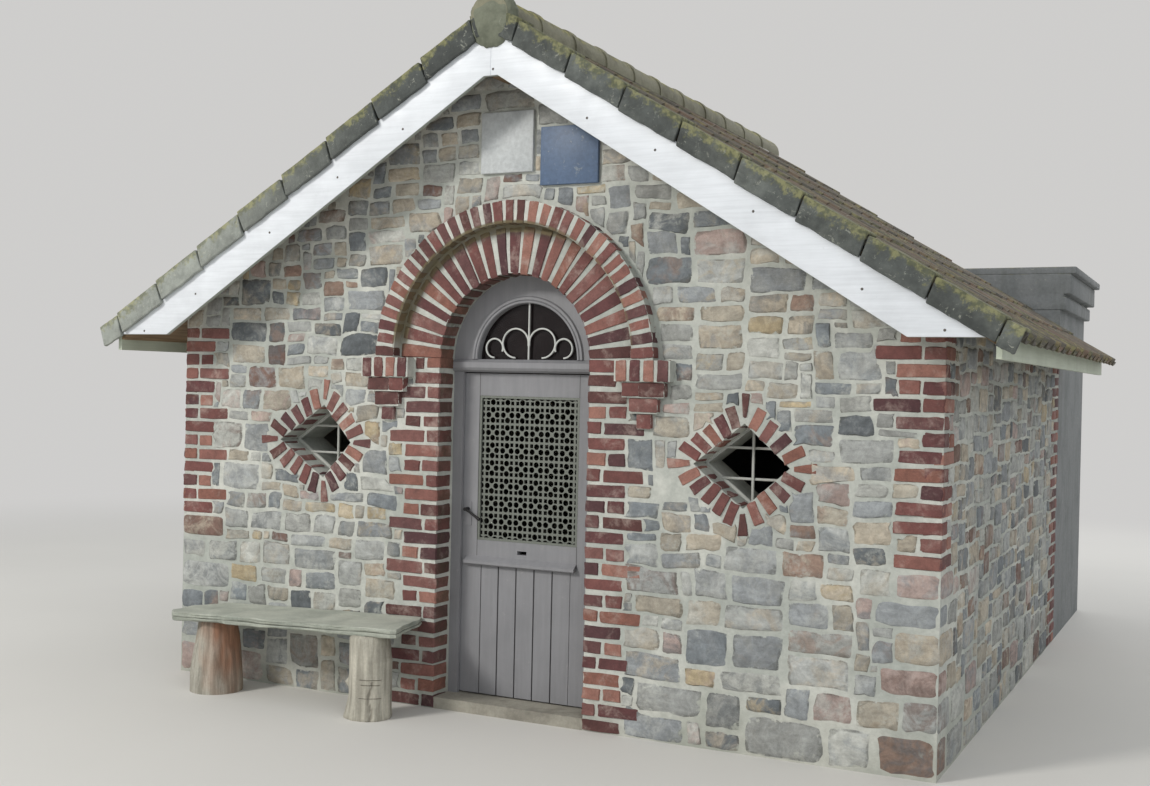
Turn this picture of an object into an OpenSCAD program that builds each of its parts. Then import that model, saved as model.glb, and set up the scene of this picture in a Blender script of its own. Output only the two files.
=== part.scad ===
// Small field chapel of rubble stone with brick dressings, a pantiled gable
// roof over the nave and a flat-roofed chancel block behind it.
// Units are millimetres. X runs to the right as seen from the front, Y to the
// back and Z up. The origin is at ground level in the middle of the doorway.

/* [Nave] */
// Width of the nave over its side walls
nave_w = 4440; // [3800:10:5200]
// Depth of the nave from the front face to the back of the rear gable
nave_d = 4000; // [3000:10:5000]
// Thickness of the nave walls
wall_t = 400; // [300:10:500]
// Thickness of the floor slab, which also fills the doorway
floor_t = 60; // [40:5:100]

/* [Chancel] */
// Depth of the flat-roofed block behind the nave
chancel_d = 1550; // [1000:10:2500]
// Thickness of the chancel walls
chancel_wall_t = 350; // [250:10:450]
// Height of the chancel walls under the cornice
chancel_h = 2360; // [2300:10:2450]
// Half width of the arch between nave and chancel
chancel_arch_r = 850; // [600:10:1000]
// Height at which the arch between nave and chancel springs
chancel_arch_spring = 1450; // [1200:10:1500]
// Height of the lower cornice band
cornice_low_h = 95; // [60:5:150]
// Height of the groove between the bands
cornice_groove_h = 20; // [10:5:40]
// Height of the upper cornice band
cornice_up_h = 145; // [100:5:200]
// Projection of the lower band from the wall
cornice_low_out = 40; // [20:5:80]
// Projection of the upper band from the wall
cornice_up_out = 70; // [40:5:110]
// Projection of the coping slab from the wall
coping_out = 105; // [60:5:150]
// Thickness of the coping slab
coping_t = 50; // [30:5:80]
// Thickness of the roof slab between the cornice bands
chancel_slab_t = 120; // [80:10:160]

/* [Roof] */
// Slope of the roof in degrees
pitch = 32.2; // [28:0.1:36]
// Height of the upper edge of the bargeboards at the apex
apex_z = 3540; // [3300:10:3700]
// Overhang of the bargeboards in front of the wall
verge_out = 290; // [200:5:350]
// Overhang of the roof boards beside the side walls
side_out = 260; // [150:5:320]
// Overhang of the tiles past the roof boards
tile_out = 80; // [50:5:110]
// Roof boards and battens: depth below the board line
deck_below = 15; // [10:1:25]
// Roof boards and battens: height above the board line
deck_above = 30; // [20:1:40]
// Height of the tile profile
tile_h = 55; // [40:1:70]
// Thickness of a tile
tile_t = 14; // [10:1:20]
// Widest spacing of the tile rolls
tile_w = 225; // [180:5:260]
// Depth of the bargeboards across their run
board_depth = 187; // [140:1:220]
// Thickness of the bargeboards
board_t = 28; // [20:1:40]
// Distance of the bargeboard tips inside the edge of the roof boards
board_tip_in = 19; // [0:1:60]
// Height of the verge tiles above the board line
verge_h = 100; // [92:1:120]
// Rise of each verge tile at its lower end
verge_step = 12; // [6:1:16]
// Lap of the verge tiles over the bargeboard
verge_lap = 8; // [4:1:15]
// Thickness of the verge tile's face
verge_t = 28; // [20:1:35]
// Width of the verge tile on the roof
verge_w = 170; // [120:5:220]
// Exposed length of a verge tile
verge_course = 345; // [280:5:420]
// Height of the eave fascias
fascia_h = 98; // [70:1:130]
// Thickness of the eave fascias
fascia_t = 25; // [18:1:35]
// Outer radius of the ridge tiles
ridge_r = 105; // [90:1:125]
// Thickness of the ridge tiles
ridge_t = 18; // [12:1:25]
// Height of the crown of the ridge tiles above the board line apex
ridge_up = 160; // [150:1:200]
// Length of a ridge tile
ridge_len = 400; // [300:10:500]
// Projection of the collar where two ridge tiles meet
ridge_collar = 7; // [4:1:12]
// Width and height of the ridge beam
beam_w = 120; // [80:5:160]
beam_h = 170; // [120:5:220]

/* [Doorway] */
// Half width of the doorway and radius of its arch
door_r = 450; // [400:5:520]
// Height at which the door arch springs
spring_z = 1880; // [1800:5:1960]
// Depth of the brick arch ring and width of the brick jambs
arch_ring = 220; // [180:5:260]
// Inner radius of the projecting hood ring
hood_in = 705; // [690:5:760]
// Width of the hood ring
hood_w = 115; // [90:5:140]
// Projection of the hood from the wall
hood_out = 62; // [40:1:90]
// Height of the standing bricks on the hood corbels
corbel_h = 105; // [90:1:120]
// Height of one brick course of the corbels with its joint
course_h = 79; // [70:1:90]
// Width of the standing bricks row
corbel_w = 300; // [280:5:340]
// Step of the corbel courses at each end
corbel_step = 38; // [25:1:45]
// Depth of the reveal in front of the door frame
reveal = 155; // [100:5:200]

/* [Door frame] */
// Width of a door post
post_w = 45; // [35:1:60]
// Depth of the frame
frame_d = 70; // [60:1:90]
// Thickness of the stop that the door closes against
stop_t = 20; // [15:1:25]
// Width by which the stop covers the door
stop_w = 15; // [10:1:20]
// Underside of the transom
transom_z = 1810; // [1760:1:1830]
// Projection of the moulding on the transom
transom_out = 30; // [15:1:40]
// Radius of the fanlight's glass opening
fan_r = 300; // [260:5:330]
// Height of the raised bead round the fanlight
bead_h = 12; // [6:1:18]
// Thickness of the fanlight's glass
glass_t = 6; // [4:1:10]
// Thickness of the scrollwork's rods
scroll_d = 10; // [8:1:14]

/* [Door leaf] */
// Thickness of the door leaf
leaf_t = 45; // [40:1:55]
// Gap between the door leaf and its frame at the hinges and above
leaf_gap = 6; // [5.5:0.5:9]
// Gap at the lock side and under the leaf
lock_gap = 8; // [7.5:0.5:12]
// Width of the lock stile
stile_lock = 98; // [80:1:120]
// Width of the hinge stile
stile_hinge = 92; // [80:1:120]
// Width of both stiles beside the lower boards
stile_low = 125; // [100:1:140]
// Height of the top rail
rail_top = 120; // [90:1:140]
// Height of the bottom rail behind the boards
rail_bottom = 140; // [100:1:180]
// Height of the rail between grille and boards
rail_mid = 110; // [90:1:140]
// Height of the underside of the middle rail
rail_mid_z = 790; // [700:5:850]
// Number of vertical boards in the lower panel
board_n = 5; // [4:1:8]
// Thickness of the lower boards
leaf_board_t = 22; // [16:1:26]
// Width and height of the slot through the middle rail
slot_w = 56; // [30:1:70]
slot_h = 20; // [10:1:26]
// Middle of the slot beside the centre line
slot_x = -20; // [-60:1:20]
// Depth of the V joints between the boards
groove_d = 6; // [3:1:8]
// Projection of the weather bar
weather_out = 34; // [20:1:38]
// Height of the weather bar
weather_h = 46; // [30:1:60]

/* [Grille] */
// Thickness of the pierced sheet
grille_t = 4; // [3:0.5:6]
// Plain rim round the pierced field
grille_rim = 12; // [8:1:20]
// Number of whole cells across
grille_nx = 6; // [4:1:8]
// Number of whole cells in height
grille_nz = 7; // [5:1:9]
// Share of a cell left at each side and at the top and bottom
grille_part_x = 0.21; // [0.15:0.01:0.4]
grille_part_z = 0.45; // [0.2:0.01:0.49]
// Radius of the four large holes in a cell as a share of its width
hole_big = 0.17; // [0.12:0.01:0.18]
// Distance of the large holes from the cell's middle as a share of it
hole_off = 0.29; // [0.27:0.01:0.3]
// Width of the small corner holes as a share of the cell
hole_small = 0.21; // [0.14:0.01:0.22]
// Width of the bead that holds the sheet
grille_bead = 13; // [12:1:18]

/* [Hinges and lever] */
// Diameter of the hinge pins
pin_d = 14; // [10:1:18]
// Radial play of the hinge eyes on their pins
pin_play = 0.05; // [0.03:0.01:0.1]
// Wall of the hinge eyes
eye_t = 5; // [4:1:7]
// Height of a hinge eye
eye_h = 40; // [30:1:60]
// Distance of the hinge axis behind the frame
hinge_back = 16; // [14:1:22]
// Length of the hinge bands on the leaf
band_l = 260; // [150:5:330]
// Height of the lever's spindle above the ground
lever_z = 1065; // [1000:5:1120]
// Distance of the spindle from the lock edge of the leaf
lever_in = 42; // [35:1:55]
// Length of the lever
lever_l = 105; // [90:1:125]
// Droop of the lever at rest in degrees
lever_droop = 32; // [0:1:40]
// Diameter of the spindle
spindle_d = 10; // [8:1:12]

/* [Windows] */
// Distance of a window's centre from the middle of the front
window_x = 1265; // [1150:5:1350]
// Height of the left window's centre
window_z_left = 1405; // [1300:5:1450]
// Height of the right window's centre
window_z_right = 1380; // [1300:5:1450]
// Shift of the left window's top and foot towards the door
window_lean_left = 60; // [0:5:80]
// Shift of the right window's top and foot towards the door
window_lean_right = -15; // [-40:5:40]
// Half width of the diamond opening
window_a = 245; // [200:5:280]
// Half height of the diamond opening
window_b = 205; // [170:5:240]
// Width of the brick ring round the opening
window_ring = 102; // [90:1:115]

/* [Plaques] */
// Thickness of the plaques
plaque_t = 22; // [15:1:30]
// Width and height of the pale plaque
pale_w = 310; // [250:5:350]
pale_h = 320; // [250:5:340]
// Middle of the pale plaque beside the centre line
pale_x = -50; // [-80:5:-20]
// Height of the pale plaque above the hood
pale_up = 150; // [100:5:180]
// Width and height of the blue plaque
blue_w = 330; // [280:5:350]
blue_h = 300; // [250:5:315]
// Middle of the blue plaque beside the centre line
blue_x = 315; // [300:5:340]
// Height of the blue plaque above the hood
blue_up = 75; // [40:5:90]

/* [Bench] */
// Length of the bench slab
bench_l = 1530; // [1300:10:1650]
// Depth of the bench slab
bench_w = 430; // [350:5:480]
// Thickness of the bench slab
bench_t = 50; // [35:1:70]
// Right end of the bench from the middle of the front
bench_x = -420; // [-450:5:-400]
// Height of the slab's underside at its right end
bench_z = 440; // [380:5:480]
// Fall of the slab to the left in degrees
bench_tilt = 1.8; // [0:0.1:3]
// Distance of the right post's centre from the right end of the slab
post_right_in = 200; // [150:5:260]
// Distance of the left post's centre from the left end of the slab
post_left_in = 240; // [180:5:350]
// Diameter of the right post
post_right_d = 220; // [180:5:260]
// Diameter of the left post
post_left_d = 270; // [200:5:290]

/* [Hidden] */
$fn = 48;

// Clearance where one piece seats in or on another
seat = 0.3;
// Planes of the plan, from front to back
front_y = -wall_t / 2;
inner_front_y = wall_t / 2;
rear_y = front_y + nave_d;
inner_rear_y = rear_y - wall_t;
end_y = rear_y + chancel_d;
half_w = nave_w / 2;
inner_half_w = half_w - wall_t;
// Roof planes: the board line is the upper edge of the bargeboards
board_y = front_y - verge_out;
deck_y = board_y + board_t;
deck_x = half_w + side_out;
eave_x = deck_x + tile_out;
tile_low = deck_above + seat;
tile_top = tile_low + tile_h;
slope_l = eave_x / cos(pitch);
jamb_x = door_r + arch_ring;
// Chancel heights
cornice_z = chancel_h + cornice_low_h;
upper_z = cornice_z + cornice_groove_h;
coping_z = upper_z + cornice_up_h;
// Top of the hood over the doorway
hood_top = spring_z + hood_in + hood_w;
// Door planes and the size of the leaf
frame_y = front_y + reveal;
frame_back = frame_y + frame_d;
leaf_back = frame_back;
leaf_y = leaf_back - leaf_t;
leaf_x0 = -door_r + post_w + lock_gap;
leaf_x1 = door_r - post_w - leaf_gap;
leaf_z0 = floor_t + lock_gap;
leaf_z1 = transom_z - leaf_gap;
hinge_x = door_r - post_w - 2;
hinge_y = frame_back + hinge_back;
hinge_zs = [leaf_z0 + 180, rail_mid_z + rail_mid / 2, leaf_z1 - rail_top / 2];
lever_x = leaf_x0 + lever_in;
panel_x0 = leaf_x0 + stile_lock;
panel_x1 = leaf_x1 - stile_hinge;
low_x0 = leaf_x0 + stile_low;
low_x1 = leaf_x1 - stile_low;
panel_z0 = rail_mid_z + rail_mid;
panel_z1 = leaf_z1 - rail_top;
transom_h = spring_z - transom_z;

function roof_z(x, off) = apex_z + off / cos(pitch) - tan(pitch) * abs(x);

// Extrudes an outline drawn in X and Z along Y
module along_y(y0, y1) {
    translate([0, y1, 0])
        rotate([90, 0, 0])
            linear_extrude(y1 - y0)
                children();
}

// Box between two corners
module span(p, q) {
    translate(p)
        cube(q - p);
}

// Frame on the right roof slope: X down the slope, Z out of the roof
module on_slope() {
    translate([0, 0, apex_z])
        rotate([0, pitch, 0])
            children();
}

// Right-hand piece, or its mirror image on the left
module side(s) {
    if (s > 0)
        children();
    else
        mirror([1, 0, 0])
            children();
}

// The outer diamond of a window keeps the ring's width nearly square to its sides
function ring_grow() = window_ring / (window_a * window_b / norm([window_a, window_b])) + 1;

// Diamond of a window, whose top and foot lean towards the door
module window_diamond(s, grow) {
    lean = s < 0 ? window_lean_left : window_lean_right;
    translate([window_x, s < 0 ? window_z_left : window_z_right])
        polygon([[-window_a, 0] * grow, [-lean, -window_b] * grow,
            [window_a, 0] * grow, [-lean, window_b] * grow]);
}

module floor_slab() {
    color("#8f8c84")
        union() {
            span([-door_r, front_y, 0], [door_r, inner_front_y, floor_t]);
            span([-inner_half_w, inner_front_y, 0], [inner_half_w, inner_rear_y, floor_t]);
            span([-chancel_arch_r, inner_rear_y, 0], [chancel_arch_r, rear_y, floor_t]);
            span([-half_w + chancel_wall_t, rear_y, 0],
                [half_w - chancel_wall_t, end_y - chancel_wall_t, floor_t]);
        }
}

// Wall beside the door, up to the spring line, with its diamond window
module front_wall(s) {
    color("#9aa3a2")
        side(s)
            along_y(front_y, inner_front_y)
                difference() {
                    translate([jamb_x, 0])
                        square([half_w - jamb_x, spring_z]);
                    window_diamond(s, ring_grow());
                }
}

// Gable over the spring line, with its foot on the walls and the arch ring
module front_gable() {
    color("#9aa3a2")
        along_y(front_y, inner_front_y)
            difference() {
                polygon([[-half_w, spring_z], [half_w, spring_z],
                    [half_w, roof_z(half_w, -deck_below) - seat],
                    [beam_w / 2, roof_z(beam_w / 2, -deck_below) - seat],
                    [beam_w / 2, roof_z(beam_w / 2, -deck_below) - beam_h],
                    [-beam_w / 2, roof_z(beam_w / 2, -deck_below) - beam_h],
                    [-beam_w / 2, roof_z(beam_w / 2, -deck_below) - seat],
                    [-half_w, roof_z(half_w, -deck_below) - seat]]);
                translate([0, spring_z])
                    circle(r = jamb_x, $fn = 96);
            }
}

module door_jamb(s) {
    color("#8a4a42")
        side(s)
            span([door_r, front_y, 0], [jamb_x, inner_front_y, spring_z]);
}

// Half ring standing on the spring line
module half_ring(r0, r1) {
    intersection() {
        difference() {
            circle(r = r1, $fn = 96);
            circle(r = r0, $fn = 96);
        }
        translate([-r1, 0])
            square([2 * r1, r1]);
    }
}

module door_arch() {
    color("#a0574c")
        along_y(front_y, inner_front_y)
            translate([0, spring_z])
                half_ring(door_r, jamb_x);
}

module hood_arch() {
    color("#6f3a36")
        along_y(front_y - hood_out, front_y)
            translate([0, spring_z])
                half_ring(hood_in, hood_in + hood_w);
}

// Standing bricks under the hood on courses that step back
module hood_corbel(s) {
    mid = hood_in + hood_w / 2;
    color("#6f3a36")
        side(s)
            union() {
                span([mid - corbel_w / 2, front_y - hood_out, spring_z - corbel_h],
                    [mid + corbel_w / 2, front_y, spring_z]);
                for (i = [1:3])
                    span([mid - corbel_w / 2 + corbel_step * i,
                            front_y - hood_out * (4 - i) / 4,
                            spring_z - corbel_h - course_h * i],
                        [mid + corbel_w / 2 - corbel_step * i,
                            front_y,
                            spring_z - corbel_h - course_h * (i - 1)]);
            }
}

module window_surround(s) {
    color("#8a4a42")
        side(s)
            along_y(front_y, inner_front_y)
                difference() {
                    window_diamond(s, ring_grow());
                    window_diamond(s, 1);
                }
}

module side_wall(s) {
    color("#8f9894")
        side(s)
            along_y(inner_front_y, inner_rear_y)
                polygon([[inner_half_w, 0], [half_w, 0],
                    [half_w, roof_z(half_w, -deck_below) - seat],
                    [inner_half_w, roof_z(inner_half_w, -deck_below) - seat]]);
}

module rear_wall(s) {
    color("#8f9894")
        side(s)
            span([chancel_arch_r, inner_rear_y, 0], [half_w, rear_y, chancel_arch_spring]);
}

// Gable between nave and chancel, carried by a round arch
module rear_gable() {
    color("#8f9894")
        along_y(inner_rear_y, rear_y)
            difference() {
                polygon([[-half_w, chancel_arch_spring], [half_w, chancel_arch_spring],
                    [half_w, roof_z(half_w, -deck_below) - seat],
                    [beam_w / 2, roof_z(beam_w / 2, -deck_below) - seat],
                    [beam_w / 2, roof_z(beam_w / 2, -deck_below) - beam_h],
                    [-beam_w / 2, roof_z(beam_w / 2, -deck_below) - beam_h],
                    [-beam_w / 2, roof_z(beam_w / 2, -deck_below) - seat],
                    [-half_w, roof_z(half_w, -deck_below) - seat]]);
                translate([0, chancel_arch_spring])
                    circle(r = chancel_arch_r, $fn = 96);
            }
}

module chancel_wall(s) {
    color("#8c9596")
        side(s)
            span([half_w - chancel_wall_t, rear_y, 0],
                [half_w, end_y - chancel_wall_t, chancel_h]);
}

module chancel_wall_rear() {
    color("#8c9596")
        span([-half_w, end_y - chancel_wall_t, 0], [half_w, end_y, chancel_h]);
}

// Band round the top of the chancel, flush with the gable at the front
module chancel_band(out, z0, z1) {
    difference() {
        span([-half_w - out, rear_y, z0], [half_w + out, end_y + out, z1]);
        span([-half_w + chancel_wall_t, rear_y + chancel_wall_t / 3, z0 - 1],
            [half_w - chancel_wall_t, end_y - chancel_wall_t, z1 + 1]);
    }
}

module chancel_cornice() {
    color("#7d8790")
        union() {
            chancel_band(cornice_low_out, chancel_h, cornice_z);
            chancel_band(cornice_low_out / 2, cornice_z, upper_z);
            chancel_band(cornice_up_out, upper_z, coping_z);
        }
}

module chancel_roof() {
    color("#6e7880")
        union() {
            span([-half_w - coping_out, rear_y, coping_z],
                [half_w + coping_out, end_y + coping_out, coping_z + coping_t]);
            span([-half_w + chancel_wall_t, rear_y + chancel_wall_t / 3,
                    coping_z - chancel_slab_t],
                [half_w - chancel_wall_t, end_y - chancel_wall_t, coping_z]);
        }
}

// Boards and battens of one roof slope, from the verge to the rear gable
module roof_deck(s) {
    color("#6b5a45")
        side(s)
            along_y(deck_y, rear_y)
                polygon([[0, roof_z(0, -deck_below)],
                    [deck_x, roof_z(deck_x, -deck_below)],
                    [deck_x, roof_z(deck_x, deck_above)],
                    [0, roof_z(0, deck_above)]]);
}

// Height of the pantile profile over one roll, from 0 to 1
function tile_wave(u) = u < 0.4 ? sin(u / 0.4 * 180) : -0.28 * sin((u - 0.4) / 0.6 * 180);

// One slope of pantiles: the profile runs down the slope
module roof_tiles(s) {
    y0 = board_y + seat;
    n = ceil((rear_y - y0) / tile_w);
    w = (rear_y - y0) / n;
    steps = 10;
    rise = (tile_h - tile_t) / 1.28;
    line = [for (i = [0:n * steps]) [y0 + i * w / steps,
        0.28 * rise + rise * tile_wave((i % steps) / steps)]];
    count = len(line);
    color("#6f5d4c")
        side(s)
            on_slope()
                translate([ridge_r * 0.5, 0, tile_low])
                    rotate([90, 0, 90])
                        linear_extrude(slope_l - ridge_r * 0.5)
                            polygon([for (i = [0:count - 1]) line[i],
                                for (i = [count - 1:-1:0]) line[i] + [0, tile_t]]);
}

// Half-round ridge tiles with legs that end on the tile crests
module ridge_profile(r) {
    zc = apex_z + ridge_up - ridge_r;
    difference() {
        union() {
            translate([0, zc])
                circle(r = r, $fn = 48);
            translate([-r, zc - ridge_r])
                square([2 * r, ridge_r]);
        }
        translate([0, zc])
            circle(r = ridge_r - ridge_t, $fn = 48);
        translate([-ridge_r + ridge_t, zc - 2 * ridge_r])
            square([2 * (ridge_r - ridge_t), 2 * ridge_r]);
        polygon([[0, roof_z(0, tile_top + seat)],
            [2 * ridge_r, roof_z(2 * ridge_r, tile_top + seat)],
            [2 * ridge_r, apex_z - 3 * ridge_r], [-2 * ridge_r, apex_z - 3 * ridge_r],
            [-2 * ridge_r, roof_z(2 * ridge_r, tile_top + seat)]]);
    }
}

module ridge_tiles() {
    y0 = board_y - verge_t;
    n = ceil((rear_y - y0) / ridge_len);
    l = (rear_y - y0) / n;
    color("#77786a")
        union() {
            along_y(y0, rear_y)
                ridge_profile(ridge_r);
            for (i = [1:n - 1])
                along_y(y0 + i * l - 25, y0 + i * l + 25)
                    ridge_profile(ridge_r + ridge_collar);
            along_y(y0, y0 + 45)
                difference() {
                    translate([0, apex_z + ridge_up - ridge_r])
                        circle(r = ridge_r - ridge_t / 2, $fn = 48);
                    polygon([[0, roof_z(0, tile_top + seat)],
                        [2 * ridge_r, roof_z(2 * ridge_r, tile_top + seat)],
                        [0, apex_z - 3 * ridge_r],
                        [-2 * ridge_r, roof_z(2 * ridge_r, tile_top + seat)]]);
                }
        }
}

module ridge_beam() {
    z1 = roof_z(beam_w / 2, -deck_below) - seat;
    color("#6b5a45")
        along_y(deck_y, rear_y)
            polygon([[-beam_w / 2, z1 - beam_h + 2 * seat], [beam_w / 2, z1 - beam_h + 2 * seat],
                [beam_w / 2 - seat, z1], [0, roof_z(0, -deck_below) - seat],
                [-beam_w / 2 + seat, z1]]);
}

// Saw-toothed run of lapped verge tiles between two heights off the slope
module verge_line(low, high, saw) {
    n = ceil(slope_l / verge_course);
    c = slope_l / n;
    polygon([for (i = [0:n - 1]) each [[i * c, high], [(i + 1) * c, high + verge_step]],
        for (i = [n - 1:-1:0]) each [[(i + 1) * c, low + (saw ? verge_step / 2 : 0)],
            [i * c, low - (saw ? verge_step / 2 : 0)]]]);
}

module verge_tiles(s) {
    start = verge_h * tan(pitch);
    color("#8d8f88")
        side(s)
            difference() {
                on_slope()
                    union() {
                        along_y(board_y - verge_t, board_y - seat)
                            verge_line(-verge_lap, verge_h, true);
                        along_y(board_y - verge_t, board_y - verge_t + verge_w)
                            verge_line(tile_top + seat, verge_h, false);
                    }
                span([-start * 4, board_y - verge_t - 1, 0],
                    [0, board_y + verge_w + 1, apex_z * 2]);
                along_y(board_y - verge_t - 1, board_y + verge_w + 1)
                    translate([0, apex_z + ridge_up - ridge_r])
                        circle(r = ridge_r + ridge_collar + seat, $fn = 48);
            }
}

module bargeboard(s) {
    tip_x = deck_x - board_tip_in;
    tip_z = roof_z(tip_x, 0);
    low_x = tip_x - board_depth / sin(pitch);
    low_apex = roof_z(0, -board_depth);
    color("#e4e8ea")
        side(s)
            along_y(board_y, board_y + board_t)
                polygon([[0, apex_z], [tip_x, tip_z], [low_x, tip_z],
                    [40, roof_z(40, -board_depth)], [0, low_apex - 40 * tan(pitch)]]);
}

module fascia(s) {
    top = roof_z(deck_x + fascia_t, deck_above) - seat;
    color("#b9c0a8")
        side(s)
            span([deck_x, deck_y, top - fascia_h], [deck_x + fascia_t, rear_y, top]);
}

module plaque(x, z, w, h) {
    span([x - w / 2, front_y - plaque_t, z], [x + w / 2, front_y, z + h]);
}

module plaque_pale() {
    color("#9fa09b")
        plaque(pale_x, hood_top + pale_up, pale_w, pale_h);
}

module plaque_blue() {
    color("#3c5170")
        plaque(blue_x, hood_top + blue_up, blue_w, blue_h);
}

// Posts with their stops, and the moulded transom between them
module door_frame() {
    fit_r = door_r - seat;
    color("#7b6f72")
        union() {
            for (s = [-1, 1])
                side(s)
                    translate([0, 0, floor_t])
                        linear_extrude(transom_z - floor_t)
                            polygon([[fit_r - post_w - stop_w + seat, frame_y],
                                [fit_r, frame_y], [fit_r, frame_back],
                                [door_r - post_w, frame_back],
                                [door_r - post_w, frame_y + stop_t],
                                [fit_r - post_w - stop_w + seat, frame_y + stop_t]]);
            translate([-fit_r, 0, 0])
                rotate([90, 0, 90])
                    linear_extrude(2 * fit_r)
                        polygon([[frame_y - transom_out, transom_z + transom_h * 0.35],
                            [frame_y - transom_out * 0.7, transom_z + transom_h * 0.15],
                            [frame_y, transom_z],
                            [frame_back, transom_z], [frame_back, spring_z],
                            [frame_y, spring_z],
                            [frame_y - transom_out * 0.6, transom_z + transom_h * 0.85],
                            [frame_y - transom_out, transom_z + transom_h * 0.75]]);
        }
}

// Arched head of the frame round the fanlight, with a raised double bead
module fanlight_frame() {
    color("#7b6f72")
        translate([0, 0, spring_z + seat])
            rotate([90, 0, 0])
                rotate_extrude(angle = 180, $fn = 96)
                    polygon([[fan_r, -frame_back], [door_r - 1, -frame_back],
                        [door_r - 1, -frame_y],
                        [fan_r + 38, -frame_y], [fan_r + 32, -frame_y + bead_h],
                        [fan_r + 20, -frame_y + bead_h], [fan_r + 16, -frame_y + bead_h / 2],
                        [fan_r + 12, -frame_y + bead_h], [fan_r + 4, -frame_y + bead_h],
                        [fan_r, -frame_y + bead_h / 2]]);
}

module fanlight_glass() {
    color("#2b2d33")
        along_y(frame_y + frame_d / 2, frame_y + frame_d / 2 + glass_t)
            translate([0, spring_z + seat])
                half_ring(0.01, fan_r - seat);
}

// Quarter or longer arc of round rod in the plane of the fanlight
module rod_arc(x, z, r, a0, a1) {
    translate([x, frame_y + frame_d / 4, z])
        rotate([90, 0, 0])
            rotate([0, 0, a0])
                rotate_extrude(angle = a1 - a0, $fn = 48)
                    translate([r, 0])
                        circle(d = scroll_d, $fn = 16);
}

// Plain ornamental scrolls: a middle rod with a pair of curls on each side
module fanlight_scroll() {
    base = spring_z + scroll_d;
    r1 = fan_r * 0.26;
    r2 = fan_r * 0.17;
    color("#c4c6c4")
        union() {
            translate([0, frame_y + frame_d / 4, spring_z])
                cylinder(d = scroll_d, h = fan_r - seat, $fn = 16);
            for (s = [-1, 1])
                side(s) {
                    rod_arc(r1 + scroll_d / 4, base + r1, r1, -90, 190);
                    rod_arc(r1 * 2 + r2 + scroll_d / 4, base + r2, r2, -90, 200);
                }
        }
}

// Stiles and rails of the leaf
module door_leaf() {
    color("#80757a")
        difference() {
            span([leaf_x0, leaf_y, leaf_z0], [leaf_x1, leaf_back, leaf_z1]);
            span([panel_x0, leaf_y - 1, panel_z0], [panel_x1, leaf_back + 1, panel_z1]);
            span([low_x0, leaf_y - 1, leaf_z0 - 1],
                [low_x1, leaf_y + leaf_board_t + seat, rail_mid_z]);
            span([low_x0, leaf_y - 1, leaf_z0 + rail_bottom],
                [low_x1, leaf_back + 1, rail_mid_z]);
            span([slot_x - slot_w / 2, leaf_y - 1, rail_mid_z + rail_mid / 2 - slot_h / 2],
                [slot_x + slot_w / 2, leaf_back + 1, rail_mid_z + rail_mid / 2 + slot_h / 2]);
            translate([lever_x, leaf_back + 1, lever_z])
                rotate([90, 0, 0])
                    cylinder(d = spindle_d + 2, h = leaf_t + 2);
        }
}

// Lower panel of upright boards with V joints
module door_boards() {
    w = low_x1 - low_x0 - 2 * seat;
    x0 = low_x0 + seat;
    p = w / board_n;
    y = leaf_y;
    color("#80757a")
        translate([0, 0, leaf_z0])
            linear_extrude(rail_mid_z - leaf_z0 - seat)
                polygon([[x0 + groove_d / 2, y],
                    for (i = [1:board_n - 1]) each [[x0 + i * p - groove_d / 2, y],
                        [x0 + i * p, y + groove_d], [x0 + i * p + groove_d / 2, y]],
                    [x0 + w - groove_d / 2, y], [x0 + w, y + groove_d],
                    [x0 + w, leaf_y + leaf_board_t], [x0, leaf_y + leaf_board_t],
                    [x0, y + groove_d]]);
}

// Holes of one cell: four large round ones and a small square one in each corner
module grille_holes(cw, ch) {
    for (d = [[1, 0], [-1, 0], [0, 1], [0, -1]])
        translate([d[0] * hole_off * cw, d[1] * hole_off * ch])
            circle(r = hole_big * cw, $fn = 20);
    for (d = [[1, 1], [-1, 1], [1, -1], [-1, -1]])
        translate([(d[0] * 0.33 - hole_small / 2) * cw, (d[1] * 0.33 - hole_small / 2) * ch])
            square([hole_small * cw, hole_small * ch]);
}

// Pierced metal sheet in a bead, with the edge cells cut by its rim
module door_grille() {
    w = panel_x1 - panel_x0 - 2 * seat;
    h = panel_z1 - panel_z0 - 2 * seat;
    cw = (w - 2 * grille_rim) / (grille_nx + 2 * grille_part_x);
    ch = (h - 2 * grille_rim) / (grille_nz + 2 * grille_part_z);
    color("#8f8f8d")
        translate([panel_x0 + seat, 0, panel_z0 + seat])
            union() {
                along_y(leaf_y + 12, leaf_y + 12 + grille_t)
                    difference() {
                        square([w, h]);
                        intersection() {
                            translate([grille_rim, grille_rim])
                                square([w - 2 * grille_rim, h - 2 * grille_rim]);
                            for (i = [0:grille_nx + 1], j = [0:grille_nz + 1])
                                translate([w / 2 + (i - (grille_nx + 1) / 2) * cw,
                                        h / 2 + (j - (grille_nz + 1) / 2) * ch])
                                    grille_holes(cw, ch);
                        }
                    }
                along_y(leaf_y + 2, leaf_y + 12)
                    difference() {
                        square([w, h]);
                        translate([grille_bead, grille_bead])
                            square([w - 2 * grille_bead, h - 2 * grille_bead]);
                    }
            }
}

// Sloping drip bar under the middle rail
module weather_bar() {
    z = rail_mid_z - weather_h / 2;
    color("#80757a")
        translate([leaf_x0 + stile_lock * 0.35, 0, 0])
            rotate([90, 0, 90])
                linear_extrude(panel_x1 - leaf_x0 - stile_lock * 0.35)
                    polygon([[leaf_y, z + 8], [leaf_y, z + weather_h],
                        [leaf_y - weather_out, z + weather_h * 0.45],
                        [leaf_y - weather_out, z + 6], [leaf_y - weather_out + 8, z],
                        [leaf_y - weather_out + 12, z + 8]]);
}

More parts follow.
